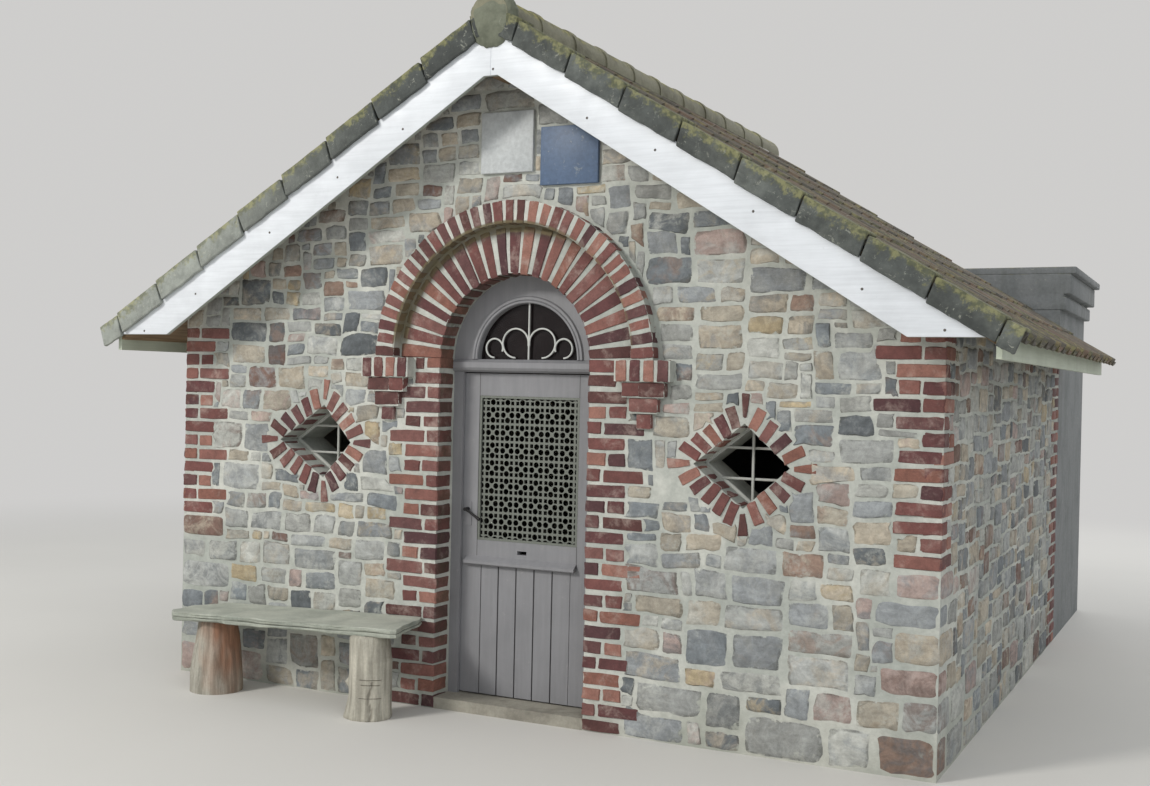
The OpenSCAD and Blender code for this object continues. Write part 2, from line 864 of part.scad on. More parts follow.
// Plate on each face of the lock stile, with a hole for the spindle
module lock_plates() {
    color("#2b2b2d")
        for (y = [leaf_y - 4, leaf_back])
            difference() {
                span([lever_x - 19, y, lever_z - 90], [lever_x + 19, y + 4, lever_z + 40]);
                translate([lever_x, y + 5, lever_z])
                    rotate([90, 0, 0])
                        cylinder(d = spindle_d + 2 * pin_play, h = 6);
            }
}

// Round lever on a spindle through the leaf, one grip on each face
module door_lever() {
    reach = 40;
    neck = spindle_d + 9;
    grip = spindle_d / 2 + 3;
    axis_in = grip + 4;
    color("#1f1f21")
        union() {
            translate([lever_x, leaf_back + 4 + reach - 5, lever_z])
                rotate([90, 0, 0])
                    cylinder(d = spindle_d, h = leaf_t + 8 + 2 * reach - 10);
            for (y = [leaf_y - 4 - reach, leaf_back + 4 + 2])
                translate([lever_x, y + reach - 2, lever_z])
                    rotate([90, 0, 0])
                        cylinder(d = neck, h = reach - 2);
            for (y = [leaf_y - 4 - reach + axis_in, leaf_back + 4 + reach - axis_in])
                translate([lever_x, y, lever_z])
                    rotate([0, 90 + lever_droop, 0])
                        rotate_extrude($fn = 40)
                            polygon([[0, 0], [grip, 0], [grip, lever_l * 0.15],
                                [grip * 0.8, lever_l * 0.3], [grip * 0.9, lever_l * 0.7],
                                [grip * 1.15, lever_l * 0.93], [grip * 0.9, lever_l * 0.98],
                                [grip * 0.4, lever_l], [0, lever_l]]);
        }
}

// Pins on brackets at the back of the hinge post
module hinge_pintles() {
    color("#3a3836")
        for (z = hinge_zs)
            union() {
                translate([hinge_x, hinge_y, z - eye_h / 2 - 20])
                    cylinder(d = pin_d, h = eye_h + 30);
                translate([hinge_x, hinge_y, z - eye_h / 2 - 20])
                    cylinder(d = pin_d + 2 * eye_t, h = 18);
                span([hinge_x, frame_back, z - eye_h / 2 - 20],
                    [hinge_x + 36, frame_back + 5, z - eye_h / 2 - 2]);
                span([hinge_x, hinge_y - 4, z - eye_h / 2 - 20],
                    [hinge_x + 8, hinge_y + 4, z - eye_h / 2 - 2]);
                span([hinge_x + 3, frame_back, z - eye_h / 2 - 20],
                    [hinge_x + 9, hinge_y, z - eye_h / 2 - 2]);
            }
}

// Flat bands on the back of the leaf, with eyes round the pins
module hinge_bands() {
    eye_r = pin_d / 2 + pin_play;
    color("#3a3836")
        for (z = hinge_zs)
            difference() {
                union() {
                    translate([hinge_x, hinge_y, z - eye_h / 2])
                        cylinder(r = eye_r + eye_t, h = eye_h);
                    span([leaf_x1 - band_l, leaf_back, z - eye_h / 2 + 4],
                        [hinge_x - eye_r - 1, leaf_back + 5, z + eye_h / 2 - 4]);
                    span([hinge_x - eye_r - eye_t, leaf_back, z - eye_h / 2 + 4],
                        [hinge_x - eye_r - eye_t + 5, hinge_y, z + eye_h / 2 - 4]);
                }
                translate([hinge_x, hinge_y, z - eye_h / 2 - 1])
                    cylinder(r = eye_r, h = eye_h + 2);
            }
}

// Weathered stone slab with ragged edges, falling slightly to the left
module on_bench() {
    translate([bench_x, 0, bench_z])
        rotate([0, -bench_tilt, 0])
            children();
}

module bench_slab() {
    back = front_y - seat;
    front = back - bench_w;
    color("#a3a7a2")
        on_bench()
            linear_extrude(bench_t)
                polygon([[-bench_l + 130, back - 8], [-bench_l * 0.7, back - 4],
                    [-bench_l * 0.35, back], [-100, back - 10], [-66, back - 90],
                    [-30, front + 150], [0, front + 22], [-24, front + 4], [-130, front],
                    [-bench_l * 0.4, front], [-bench_l * 0.75, front + 12],
                    [-bench_l + 60, front - 6], [-bench_l - 12, front + 70],
                    [-bench_l, back - 190]]);
}

// Log post, cut off under the slab
module bench_post(x, y, d) {
    difference() {
        translate([x, y, 0])
            cylinder(d1 = d * 1.04, d2 = d, h = bench_z + 60);
        on_bench()
            translate([-2 * bench_l, -4 * bench_w, -seat])
                cube([3 * bench_l, 5 * bench_w, bench_z]);
    }
}

module bench_post_left() {
    color("#6d4a3a")
        bench_post(bench_x - bench_l + post_left_in, front_y - bench_w * 0.62, post_left_d);
}

module bench_post_right() {
    color("#b5b1a5")
        bench_post(bench_x - post_right_in, front_y - bench_w * 0.78, post_right_d);
}

floor_slab();
front_wall(-1);  // front_wall_left
front_wall(1);  // front_wall_right
front_gable();
door_jamb(-1);  // door_jamb_left
door_jamb(1);  // door_jamb_right
door_arch();
hood_arch();
hood_corbel(-1);  // hood_corbel_left
hood_corbel(1);  // hood_corbel_right
window_surround(-1);  // window_surround_left
window_surround(1);  // window_surround_right
side_wall(-1);  // side_wall_left
side_wall(1);  // side_wall_right
rear_wall(-1);  // rear_wall_left
rear_wall(1);  // rear_wall_right
rear_gable();
chancel_wall(-1);  // chancel_wall_left
chancel_wall(1);  // chancel_wall_right
chancel_wall_rear();
chancel_cornice();
chancel_roof();
roof_deck(-1);  // roof_deck_left
roof_deck(1);  // roof_deck_right
roof_tiles(-1);  // roof_tiles_left
roof_tiles(1);  // roof_tiles_right
ridge_tiles();
ridge_beam();
verge_tiles(-1);  // verge_tiles_left
verge_tiles(1);  // verge_tiles_right
bargeboard(-1);  // bargeboard_left
bargeboard(1);  // bargeboard_right
fascia(-1);  // fascia_left
fascia(1);  // fascia_right
plaque_pale();
plaque_blue();
door_frame();
fanlight_frame();
fanlight_glass();
fanlight_scroll();
door_leaf();
door_boards();
door_grille();
weather_bar();
lock_plates();
hinge_pintles();
hinge_bands();
door_lever();
bench_slab();
bench_post_left();
bench_post_right();
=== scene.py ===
"""Looks of a small field chapel: rubble walls, brick dressings, pantiled roof, door and bench.

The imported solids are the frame. The walls' solids carry the mortar, and the stones and bricks
are laid on them one by one. Sizes are in metres, in the frame of the solids.
"""
from __future__ import annotations

import logging
import math
import random
from collections.abc import Iterator
from contextlib import contextmanager
from dataclasses import dataclass, field
from enum import Enum
from itertools import product

import bpy
import numpy as np
from mathutils import Matrix, Vector, noise

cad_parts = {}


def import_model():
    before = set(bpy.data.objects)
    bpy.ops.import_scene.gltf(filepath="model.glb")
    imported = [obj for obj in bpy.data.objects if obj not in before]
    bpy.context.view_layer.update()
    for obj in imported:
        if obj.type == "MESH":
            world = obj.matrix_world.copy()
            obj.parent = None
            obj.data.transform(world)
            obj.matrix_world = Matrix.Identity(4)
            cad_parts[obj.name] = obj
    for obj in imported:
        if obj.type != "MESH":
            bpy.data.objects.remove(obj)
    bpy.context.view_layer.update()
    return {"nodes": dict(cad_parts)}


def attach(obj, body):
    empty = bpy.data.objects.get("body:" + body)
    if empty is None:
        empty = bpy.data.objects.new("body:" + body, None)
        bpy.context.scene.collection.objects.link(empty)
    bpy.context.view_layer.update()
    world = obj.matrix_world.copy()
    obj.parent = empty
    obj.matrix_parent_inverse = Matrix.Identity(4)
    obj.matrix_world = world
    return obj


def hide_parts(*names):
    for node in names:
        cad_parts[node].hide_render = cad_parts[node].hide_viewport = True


LOG = logging.getLogger("field_chapel")

Socket = bpy.types.NodeSocket
Material = bpy.types.Material
Piece = bpy.types.Object
Array = np.ndarray
Triple = tuple[float, float, float]
Tone = tuple[float, ...]

FRONT_Y = -0.2
REAR_Y = 3.8
END_Y = 5.35
HALF_W = 2.22
SPRING = 1.88
COURSE = 0.079
PITCH = math.radians(32.2)
APEX = 3.54
NOISE_SEED = 5


def srgb(red: int, green: int, blue: int) -> Tone:
    """Turns a colour as seen on a screen into the renderer's linear values.

    Args:
        red: Red from 0 to 255.
        green: Green from 0 to 255.
        blue: Blue from 0 to 255.

    Returns:
        The linear colour with full alpha.
    """
    def line(value: int) -> float:
        """Linear value of one channel."""
        part = value / 255
        return part / 12.92 if part <= 0.04045 else ((part + 0.055) / 1.055) ** 2.4

    return (line(red), line(green), line(blue), 1.0)


# Near-black painted shade for the gaps between boards and along seams.
GAP_SHADE_TONE = srgb(38, 35, 36)
SIDES = ("left", "right")


class NodeTree:
    """Builds a node tree with short calls."""

    def __init__(self, tree: bpy.types.NodeTree) -> None:
        """Works on the tree of a material or of the world."""
        self.tree = tree

    def add(self, kind: str, **values: object) -> bpy.types.Node:
        """Adds a node.

        Args:
            kind: The node's type, such as ShaderNodeMath.
            **values: Properties, or inputs by name with spaces as underscores.

        Returns:
            The new node.
        """
        node = self.tree.nodes.new(kind)
        for key, value in values.items():
            if hasattr(node, key):
                setattr(node, key, value)
            else:
                self.feed(node.inputs[key.replace("_", " ")], value)
        return node

    def feed(self, socket: Socket, value: object) -> None:
        """Links a socket to another, or sets its value."""
        if isinstance(value, Socket):
            self.tree.links.new(value, socket)
        else:
            socket.default_value = value

    def math(self, how: str, first: object, second: object = 0.0) -> Socket:
        """One sum on two values."""
        node = self.add("ShaderNodeMath", operation=how)
        self.feed(node.inputs[0], first)
        self.feed(node.inputs[1], second)
        return node.outputs[0]

    def show(self, share: Socket, first: Socket, second: Socket, output: str) -> None:
        """Mixes two shaders by a share and sends them to the output of that name."""
        pick = self.add("ShaderNodeMixShader")
        for slot, value in enumerate((share, first, second)):
            self.feed(pick.inputs[slot], value)
        self.feed(self.tree.nodes[output].inputs["Surface"], pick.outputs[0])


class NodeBoard(NodeTree):
    """Builds the node tree of one material, on its piece's own coordinates."""

    def __init__(self, name: str) -> None:
        """Starts a material whose tree holds the principled shader and its output."""
        self.material = bpy.data.materials.new(name)
        self.material.use_nodes = True
        super().__init__(self.material.node_tree)
        self.shader = self.tree.nodes["Principled BSDF"]
        self.place = self.add("ShaderNodeTexCoord").outputs["Object"]

    def noise(self, scale: float, detail: float = 4.0, rough: float = 0.55,
              at: object = None, warp: float = 0.0) -> Socket:
        """Noise from 0 to 1 on the piece's own coordinates, or on others given."""
        node = self.add("ShaderNodeTexNoise", Vector=at or self.place, Scale=scale,
                        Detail=detail, Roughness=rough, Distortion=warp)
        return node.outputs["Fac"]

    def stretch(self, scale: Triple, turn: Triple = (0.0, 0.0, 0.0)) -> Socket:
        """The piece's coordinates, turned and scaled, for grain and streaks."""
        node = self.add("ShaderNodeMapping", Vector=self.place, Rotation=turn, Scale=scale)
        return node.outputs["Vector"]

    def times(self, first: object, second: object) -> Socket:
        """Multiplies two values."""
        return self.math("MULTIPLY", first, second)

    def plus(self, first: object, second: object) -> Socket:
        """Adds two values."""
        return self.math("ADD", first, second)

    def band(self, value: object, low: float, high: float, out_low: float = 0.0,
             out_high: float = 1.0) -> Socket:
        """Smooth step of a value between two limits."""
        node = self.add("ShaderNodeMapRange", interpolation_type="SMOOTHSTEP")
        for slot, part in enumerate((value, low, high, out_low, out_high)):
            self.feed(node.inputs[slot], part)
        return node.outputs[0]

    def steps(self, value: object, stops: list[tuple[float, Tone]]) -> Socket:
        """One of some colours, by a value from 0 to 1 and the place where each begins."""
        node = self.add("ShaderNodeValToRGB", Fac=value)
        bar = node.color_ramp
        bar.interpolation = "CONSTANT"
        while len(bar.elements) < len(stops):
            bar.elements.new(0.5)
        for element, (place, colour) in zip(bar.elements, stops):
            element.position = place
            element.color = colour
        return node.outputs["Color"]

    def mix(self, share: object, first: object, second: object, how: str = "MIX") -> Socket:
        """Mixes two colours."""
        node = self.add("ShaderNodeMix", data_type="RGBA", blend_type=how, clamp_factor=True)
        for slot, value in ((0, share), (6, first), (7, second)):
            self.feed(node.inputs[slot], value)
        return node.outputs[2]

    def stain(self, colour: object, mask: object, share: object, tone: object) -> Socket:
        """Lays a tone over a colour where a mask is high, up to a share."""
        return self.mix(self.times(mask, share), colour, tone)

    def under(self, value: object, low: float, high: float) -> Socket:
        """1 where a value is under a limit, and 0 where it is over the next."""
        return self.band(value, low, high, 1.0, 0.0)

    def ragged(self, scale: float, detail: float, rough: float, most: float) -> Socket:
        """Noise about nought that makes a border uneven."""
        return self.times(self.math("SUBTRACT", self.noise(scale, detail, rough), 0.5), most)

    def size(self, value: object) -> Socket:
        """A value without its sign."""
        return self.math("ABSOLUTE", value)

    def far(self, first: object, second: object) -> Socket:
        """Distance from the origin of a plane."""
        return self.math("SQRT", self.plus(self.math("POWER", first, 2.0),
                                           self.math("POWER", second, 2.0)))

    def lot(self, spread: float) -> Socket:
        """A random value for each copy in a pile."""
        node = self.add("ShaderNodeTexWhiteNoise", noise_dimensions="1D",
                        W=self.times(self.mark("tint"), spread))
        return node.outputs["Value"]

    def tones(self, tones: tuple[Tone, ...]) -> Socket:
        """One of some colours for each copy in a pile."""
        return self.steps(self.mark("tint"), [
            (slot / len(tones), tone) for slot, tone in enumerate(tones)])

    def shade(self, colour: object, value: object, low: float, high: float) -> Socket:
        """Darkens and lightens a colour by a value from 0 to 1."""
        grey = self.band(value, 0.25, 0.75, low, high)
        node = self.add("ShaderNodeCombineColor", Red=grey, Green=grey, Blue=grey)
        return self.mix(1.0, colour, node.outputs[0], "MULTIPLY")

    def axis(self, which: int) -> Socket:
        """One coordinate of the piece: 0 for X, 1 for Y, 2 for Z."""
        return self.add("ShaderNodeSeparateXYZ", Vector=self.place).outputs[which]

    def facing(self, which: int) -> Socket:
        """One part of the surface's direction."""
        shape = self.add("ShaderNodeNewGeometry").outputs["Normal"]
        return self.add("ShaderNodeSeparateXYZ", Vector=shape).outputs[which]

    def mark(self, name: str) -> Socket:
        """A value that the mesh carries under that name."""
        node = self.add("ShaderNodeAttribute", attribute_name=name)
        return node.outputs["Fac"]

    def done(self, colour: object, rough: object, *bumps: tuple[object, float, float],
             **more: object) -> Material:
        """Sets the shader and returns the material.

        Args:
            colour: Base colour.
            rough: Roughness.
            *bumps: Height, strength and distance of each layer of relief.
            **more: Other inputs of the shader by name.

        Returns:
            The finished material.
        """
        self.feed(self.shader.inputs["Base Color"], colour)
        self.feed(self.shader.inputs["Roughness"], rough)
        for key, value in more.items():
            self.feed(self.shader.inputs[key.replace("_", " ")], value)
        last = None
        for height, strength, distance in bumps:
            node = self.add("ShaderNodeBump", Height=height, Strength=strength,
                            Distance=distance)
            if last:
                self.feed(node.inputs["Normal"], last)
            last = node.outputs["Normal"]
        if last:
            self.feed(self.shader.inputs["Normal"], last)
        return self.material


def mortar_tone(board: NodeBoard) -> Socket:
    """Colour of the pointing at each place, on the walls and where it is smeared on stones."""
    patches = board.noise(1.9, 6.0, 0.62, warp=0.4)
    colour = board.mix(board.band(patches, 0.4, 0.66), srgb(172, 176, 169), srgb(202, 203, 195))
    colour = board.shade(colour, board.noise(28.0, 8.0, 0.7), 0.86, 1.07)
    height = board.plus(board.axis(2), board.times(board.noise(3.5), 0.5))
    colour = board.stain(colour, board.under(height, 0.2, 0.6), 0.35, srgb(152, 150, 134))
    green = board.band(board.noise(1.3, 5.0, 0.7), 0.56, 0.68)
    return board.stain(colour, green, 0.3, srgb(146, 152, 140))


def hood_moss_and_shade(board: NodeBoard, colour: Socket) -> Socket:
    """Adds moss, dirt and painted shadow under the projecting ring, broadest on its left half, and
    grime with painted shade inside the doorway.
    """
    up = board.math("SUBTRACT", board.axis(2), SPRING)
    far = board.far(board.axis(0), up)
    inside = board.times(board.under(far, 0.71, 0.722), board.band(up, 0.0, 0.15))
    inside = board.times(inside, board.under(board.axis(1), -0.199, -0.194))
    broad = board.under(board.axis(0), 0.12, 0.5)
    far = board.plus(board.plus(far, board.ragged(16.0, 6.0, 0.7, 0.03)),
                     board.times(broad, 0.032))
    # Painted shadow of the projecting ring, with some dirt: a dark band over the upper ends of the
    # arch bricks.
    dirt_and_shade = board.times(board.band(far, 0.655, 0.7), board.times(broad, 0.62))
    colour = board.stain(colour, inside, dirt_and_shade, srgb(62, 54, 46))
    patchy = board.plus(board.band(board.noise(14.0, 5.0, 0.7), 0.3, 0.6, 0.0, 0.55),
                        board.times(broad, 0.2))
    share = board.times(board.band(far, 0.69, 0.702), patchy)
    colour = board.stain(colour, inside, share, srgb(116, 106, 76))
    # Grime and painted shade on the faces inside the doorway, under the arch and on the bricks'
    # inner ends.
    reveal = board.times(board.under(board.size(board.axis(0)), 0.44, 0.452),
                         board.under(board.axis(1), -0.1, 0.0))
    reveal_grime_and_shade = board.band(board.noise(12.0, 6.0, 0.7), 0.35, 0.65, 0.15, 0.7)
    near = board.times(board.band(board.axis(1), -0.2, -0.19),
                       board.under(board.axis(2), 2.9, 2.95))
    return board.stain(colour, board.times(reveal, near), reveal_grime_and_shade, srgb(66, 60, 44))


@dataclass(frozen=True)
class MortarFinish:
    """Pale grey pointing outside and limewash inside."""

    name: str = "mortar"
    inside: Tone = srgb(198, 194, 182)

    def material(self) -> Material:
        """Makes the material."""
        board = NodeBoard(self.name)
        room = board.times(board.band(board.axis(1), 0.19, 0.195),
                           board.under(board.size(board.axis(0)), 1.83, 1.9))
        room = board.times(room, board.under(board.axis(1), 5.0, 5.01))
        colour = hood_moss_and_shade(board, board.mix(room, mortar_tone(board), self.inside))
        return board.done(colour, 0.93, (board.noise(15.0, 6.0, 0.65), 0.6, 0.014),
                          (board.noise(110.0, 5.0, 0.7), 0.5, 0.003))


@dataclass(frozen=True)
class StoneFinish:
    """Split fieldstone: one tone a stone, mottled, with pointing smeared over its edges."""

    name: str = "rubble_stone"
    tones: tuple[tuple[int, int, int, int], ...] = (
        (15, 144, 148, 150), (13, 168, 170, 167), (9, 124, 130, 134), (10, 152, 153, 149),
        (11, 182, 172, 155), (9, 168, 161, 147), (4, 142, 120, 107), (3, 118, 95, 86),
        (3, 178, 163, 134), (6, 102, 107, 110), (4, 170, 152, 145), (10, 180, 181, 175))

    def material(self) -> Material:
        """Makes the material."""
        board = NodeBoard(self.name)
        whole, stops, reached = sum(tone[0] for tone in self.tones), [], 0
        for share, red, green, blue in self.tones:
            stops.append((reached / whole, srgb(red, green, blue)))
            reached += share
        colour = board.steps(board.mark("tint"), stops)
        other = board.math("FRACT", board.times(board.mark("tint"), 37.0))
        veins = board.band(board.noise(8.0, 7.0, 0.68, warp=0.8), 0.44, 0.62, 0.0, 0.62)
        colour = board.mix(veins, colour, board.steps(other, stops))
        colour = board.shade(colour, board.lot(977.0), 0.88, 1.1)
        colour = board.shade(colour, board.noise(13.0, 8.0, 0.7, warp=0.6), 0.68, 1.2)
        beds = board.noise(1.0, 5.0, 0.6, at=board.stretch((7.0, 7.0, 45.0)), warp=0.4)
        colour = board.shade(colour, beds, 0.9, 1.08)
        colour = board.shade(colour, board.noise(70.0, 6.0, 0.75), 0.88, 1.1)
        rust = board.band(board.noise(5.0, 4.0, 0.6), 0.6, 0.74)
        colour = board.stain(colour, rust, 0.25, srgb(172, 140, 100))
        # Dark specks: partly the stone's own flecks, partly painted shade of small pits.
        dark = board.band(board.noise(34.0, 5.0, 0.8), 0.64, 0.72)
        colour = board.stain(colour, dark, 0.4, srgb(70, 70, 66))
        wash = board.band(board.noise(5.5, 6.0, 0.66, warp=0.3), 0.5, 0.68)
        fleck = board.band(board.noise(44.0, 5.0, 0.7), 0.4, 0.6)
        wash = board.times(board.times(wash, fleck), 0.5)
        colour = board.mix(wash, colour, mortar_tone(board))
        # Painted shade: a broken dark line just inside each stone's rim, where the joint lies in
        # shadow.
        gap = board.times(board.band(board.mark("rim"), 0.82, 0.9), board.band(
            board.noise(9.0, 5.0, 0.7), 0.46, 0.6))
        colour = board.stain(colour, gap, 0.55, srgb(74, 74, 66))
        border = board.plus(board.mark("rim"), board.ragged(21.0, 5.0, 0.65, 0.85))
        smear = board.band(border, 0.93, 1.04)
        colour = board.stain(colour, smear, 0.93, mortar_tone(board))
        return board.done(colour, 0.9, (board.noise(13.0, 7.0, 0.62, warp=0.3), 0.65, 0.016),
                          (beds, 0.3, 0.005), (board.noise(90.0, 5.0, 0.7), 0.45, 0.003))


@dataclass(frozen=True)
class BrickFinish:
    """Old hard brick, maroon to rose, with worn edges and pointing left on them."""

    name: str = "dark_brick"
    tones: tuple[Tone, ...] = (
        srgb(114, 72, 68), srgb(94, 58, 58), srgb(80, 52, 54), srgb(130, 88, 80),
        srgb(106, 67, 63), srgb(146, 104, 92), srgb(88, 56, 53), srgb(120, 82, 77),
        srgb(98, 66, 65), srgb(130, 88, 76))

    def material(self) -> Material:
        """Makes the material."""
        board = NodeBoard(self.name)
        colour = board.tones(self.tones)
        colour = board.shade(colour, board.noise(18.0, 7.0, 0.7, warp=0.5), 0.76, 1.22)
        colour = board.shade(colour, board.noise(120.0, 4.0, 0.7), 0.86, 1.12)
        bloom = board.band(board.noise(8.0, 7.0, 0.72, warp=0.3), 0.5, 0.72)
        colour = board.stain(colour, bloom, 0.5, srgb(186, 168, 158))
        soot = board.band(board.noise(14.0, 5.0, 0.7, warp=0.5), 0.6, 0.74)
        colour = board.stain(colour, soot, 0.4, srgb(66, 50, 50))
        border = board.plus(board.mark("rim"), board.ragged(34.0, 5.0, 0.7, 1.5))
        smear = board.band(border, 0.86, 1.02)
        colour = board.stain(colour, smear, 0.9, mortar_tone(board))
        return board.done(hood_moss_and_shade(board, colour), 0.85,
                          (board.noise(30.0, 6.0, 0.7), 0.6, 0.007),
                          (board.noise(150.0, 4.0, 0.7), 0.4, 0.002))


@dataclass(frozen=True)
class PaintFinish:
    """Brushed paint on planed wood, dulled by rain and worn where hands and weather reach."""

    name: str
    colour: Tone
    worn: Tone
    wear: float = 0.25
    rough: float = 0.45
    grain: Triple = (40.0, 40.0, 3.0)
    turn: float = 0.0
    joints: float = 0.0
    dirt_and_shade: float = 0.0
    seams: tuple[float, ...] = ()

    def material(self) -> Material:
        """Makes the material."""
        board = NodeBoard(self.name)
        lines = board.noise(1.0, 6.0, 0.6, at=board.stretch(self.grain, (0.0, self.turn, 0.0)))
        colour = board.shade(self.colour, board.noise(3.0, 6.0, 0.6, warp=0.3), 0.9, 1.06)
        colour = board.shade(colour, lines, 0.93, 1.05)
        spots = board.band(board.noise(21.0, 7.0, 0.72), 0.66 - self.wear * 0.2, 0.74)
        colour = board.stain(colour, spots, self.wear, self.worn)
        # Painted shade: dark lines in the gaps between the boards.
        if self.joints > 0:
            place = board.math("DIVIDE", board.plus(board.axis(0), 0.2705), self.joints)
            near = board.math("SUBTRACT", board.math("FRACT", board.plus(place, 0.5)), 0.5)
            colour = board.mix(board.band(board.size(near), 0.02, 0.05, 0.85, 0.0),
                               colour, GAP_SHADE_TONE)
        # Painted shade: dark lines along the leaf's seams, from 0.79 m up.
        for seam in self.seams:
            near = board.size(board.plus(board.axis(0), -seam))
            colour = board.stain(colour, board.band(near, 0.0012, 0.0024, 0.85, 0.0),
                                 board.band(board.axis(2), 0.789, 0.791), GAP_SHADE_TONE)
        # Downward faces darker and greener: green grime and painted shade under the boards.
        if self.dirt_and_shade > 0:
            below = board.band(board.facing(2), -0.8, -0.5, self.dirt_and_shade, 0.0)
            colour = board.mix(below, colour, srgb(118, 126, 104))
        rough = board.band(board.noise(8.0, 4.0), 0.3, 0.7, self.rough, self.rough + 0.18)
        return board.done(colour, rough, (lines, 0.25, 0.0015),
                          (board.noise(70.0, 4.0), 0.15, 0.001))


@dataclass(frozen=True)
class WoodFinish:
    """Bare weathered wood with its grain along one axis."""

    name: str
    light: Tone
    dark: Tone
    grain: Triple = (30.0, 1.5, 30.0)
    turn: float = 0.0

    def material(self) -> Material:
        """Makes the material."""
        board = NodeBoard(self.name)
        lines = board.noise(1.0, 8.0, 0.65, at=board.stretch(self.grain, (0.0, self.turn, 0.0)),
                            warp=0.3)
        colour = board.mix(board.band(lines, 0.35, 0.65), self.dark, self.light)
        colour = board.shade(colour, board.noise(4.0, 5.0), 0.85, 1.1)
        return board.done(colour, 0.78, (lines, 0.5, 0.004))


@dataclass(frozen=True)
class MetalFinish:
    """Iron or painted sheet with dull spots."""

    name: str
    colour: Tone
    spots: Tone
    metallic: float = 0.0
    rough: float = 0.5

    def material(self) -> Material:
        """Makes the material."""
        board = NodeBoard(self.name)
        mask = board.band(board.noise(60.0, 7.0, 0.75), 0.56, 0.7)
        colour = board.stain(self.colour, mask, 0.6, self.spots)
        rough = board.band(board.noise(25.0, 4.0), 0.3, 0.7, self.rough - 0.08, self.rough + 0.15)
        return board.done(colour, rough, (board.noise(160.0, 4.0), 0.2, 0.0008),
                          Metallic=self.metallic)


@dataclass(frozen=True)
class SlabFinish:
    """Cast, cut or riven stone and concrete, with stains, lichen and moss on top."""

    name: str
    colour: Tone
    stain: Tone
    moss: float = 0.0
    rough: float = 0.8
    relief: float = 0.4
    streaks: float = 0.0

    def material(self) -> Material:
        """Makes the material."""
        board = NodeBoard(self.name)
        colour = board.mix(board.band(board.noise(3.2, 7.0, 0.65, warp=0.5), 0.42, 0.7),
                           self.colour, self.stain)
        colour = board.shade(colour, board.noise(40.0, 7.0, 0.7), 0.85, 1.12)
        if self.streaks > 0:
            run = board.noise(1.0, 5.0, 0.6, at=board.stretch((9.0, 9.0, 0.7)))
            colour = board.stain(colour, board.band(run, 0.5, 0.68), self.streaks,
                                 srgb(84, 88, 84))
        lichen = board.band(board.noise(17.0, 6.0, 0.8, warp=0.8), 0.6, 0.68)
        colour = board.stain(colour, lichen, 0.3, srgb(190, 192, 176))
        if self.moss > 0:
            top = board.band(board.facing(2), 0.3, 0.85)
            patch = board.band(board.noise(7.0, 7.0, 0.75, warp=0.6), 0.42, 0.58)
            green = board.mix(board.band(board.noise(30.0), 0.4, 0.6), srgb(92, 94, 40),
                              srgb(160, 152, 70))
            colour = board.stain(colour, board.times(top, patch), self.moss, green)
        return board.done(colour, self.rough, (board.noise(9.0, 6.0, 0.6), self.relief, 0.01),
                          (board.noise(80.0, 6.0, 0.75), self.relief, 0.003))


@dataclass(frozen=True)
class TileFinish:
    """Old clay tiles, one tone a tile, with lichen rings and moss in the pans."""

    name: str
    tones: tuple[Tone, ...] = (
        srgb(102, 91, 79), srgb(88, 83, 75), srgb(110, 95, 81), srgb(82, 78, 71),
        srgb(97, 91, 81), srgb(106, 88, 75))

    def material(self) -> Material:
        """Makes the material."""
        board = NodeBoard(self.name)
        colour = board.tones(self.tones)
        colour = board.shade(colour, board.noise(9.0, 7.0, 0.7), 0.75, 1.2)
        spots = board.band(board.noise(26.0, 6.0, 0.8, warp=0.6), 0.58, 0.66)
        colour = board.stain(colour, spots, 0.5, srgb(158, 160, 142))
        moss = board.band(board.noise(5.5, 8.0, 0.74, warp=0.4), 0.46, 0.62)
        green = board.mix(board.band(board.noise(30.0), 0.4, 0.6), srgb(84, 86, 54),
                          srgb(138, 132, 88))
        colour = board.stain(colour, moss, 0.7, green)
        return board.done(colour, 0.85, (board.noise(22.0, 6.0, 0.7), 0.4, 0.006),
                          (board.noise(120.0, 4.0), 0.3, 0.002))


@dataclass(frozen=True)
class GlassFinish:
    """Thin dusty pane, coloured near black as painted shade of the dark room behind it."""

    name: str = "fan_glass"

    def material(self) -> Material:
        """Makes the material."""
        board = NodeBoard(self.name)
        dust = board.band(board.noise(12.0, 5.0), 0.4, 0.7, 0.12, 0.3)
        # Near-black colour: painted shade of the dark room behind the pane.
        return board.done(srgb(28, 21, 22), dust, Alpha=0.8, IOR=1.4)


def clear_selection() -> None:
    """Leaves nothing selected, so that the next operator acts on its own piece alone."""
    if bpy.context.object and bpy.context.object.mode != "OBJECT":
        bpy.ops.object.mode_set(mode="OBJECT")
    bpy.ops.object.select_all(action="DESELECT")


def focus(piece: Piece) -> None:
    """Selects one piece alone and makes it active."""
    clear_selection()
    piece.select_set(True)
    bpy.context.view_layer.objects.active = piece


@contextmanager
def editing(piece: Piece) -> Iterator[None]:
    """Opens a piece in edit mode with all of it selected, and closes it again."""
    focus(piece)
    bpy.ops.object.mode_set(mode="EDIT")
    bpy.ops.mesh.select_all(action="SELECT")
    yield
    bpy.ops.object.mode_set(mode="OBJECT")


def apply_all(piece: Piece) -> None:
    """Applies every modifier of a piece."""
    focus(piece)
    for name in [step.name for step in piece.modifiers]:
        bpy.ops.object.modifier_apply(modifier=name)


def bevel(piece: Piece, width: float, segments: int = 2) -> None:
    """Rounds the sharp edges of a piece."""
    step = piece.modifiers.new("Edges", "BEVEL")
    step.width = width
    step.segments = segments
    step.limit_method = "ANGLE"
    apply_all(piece)


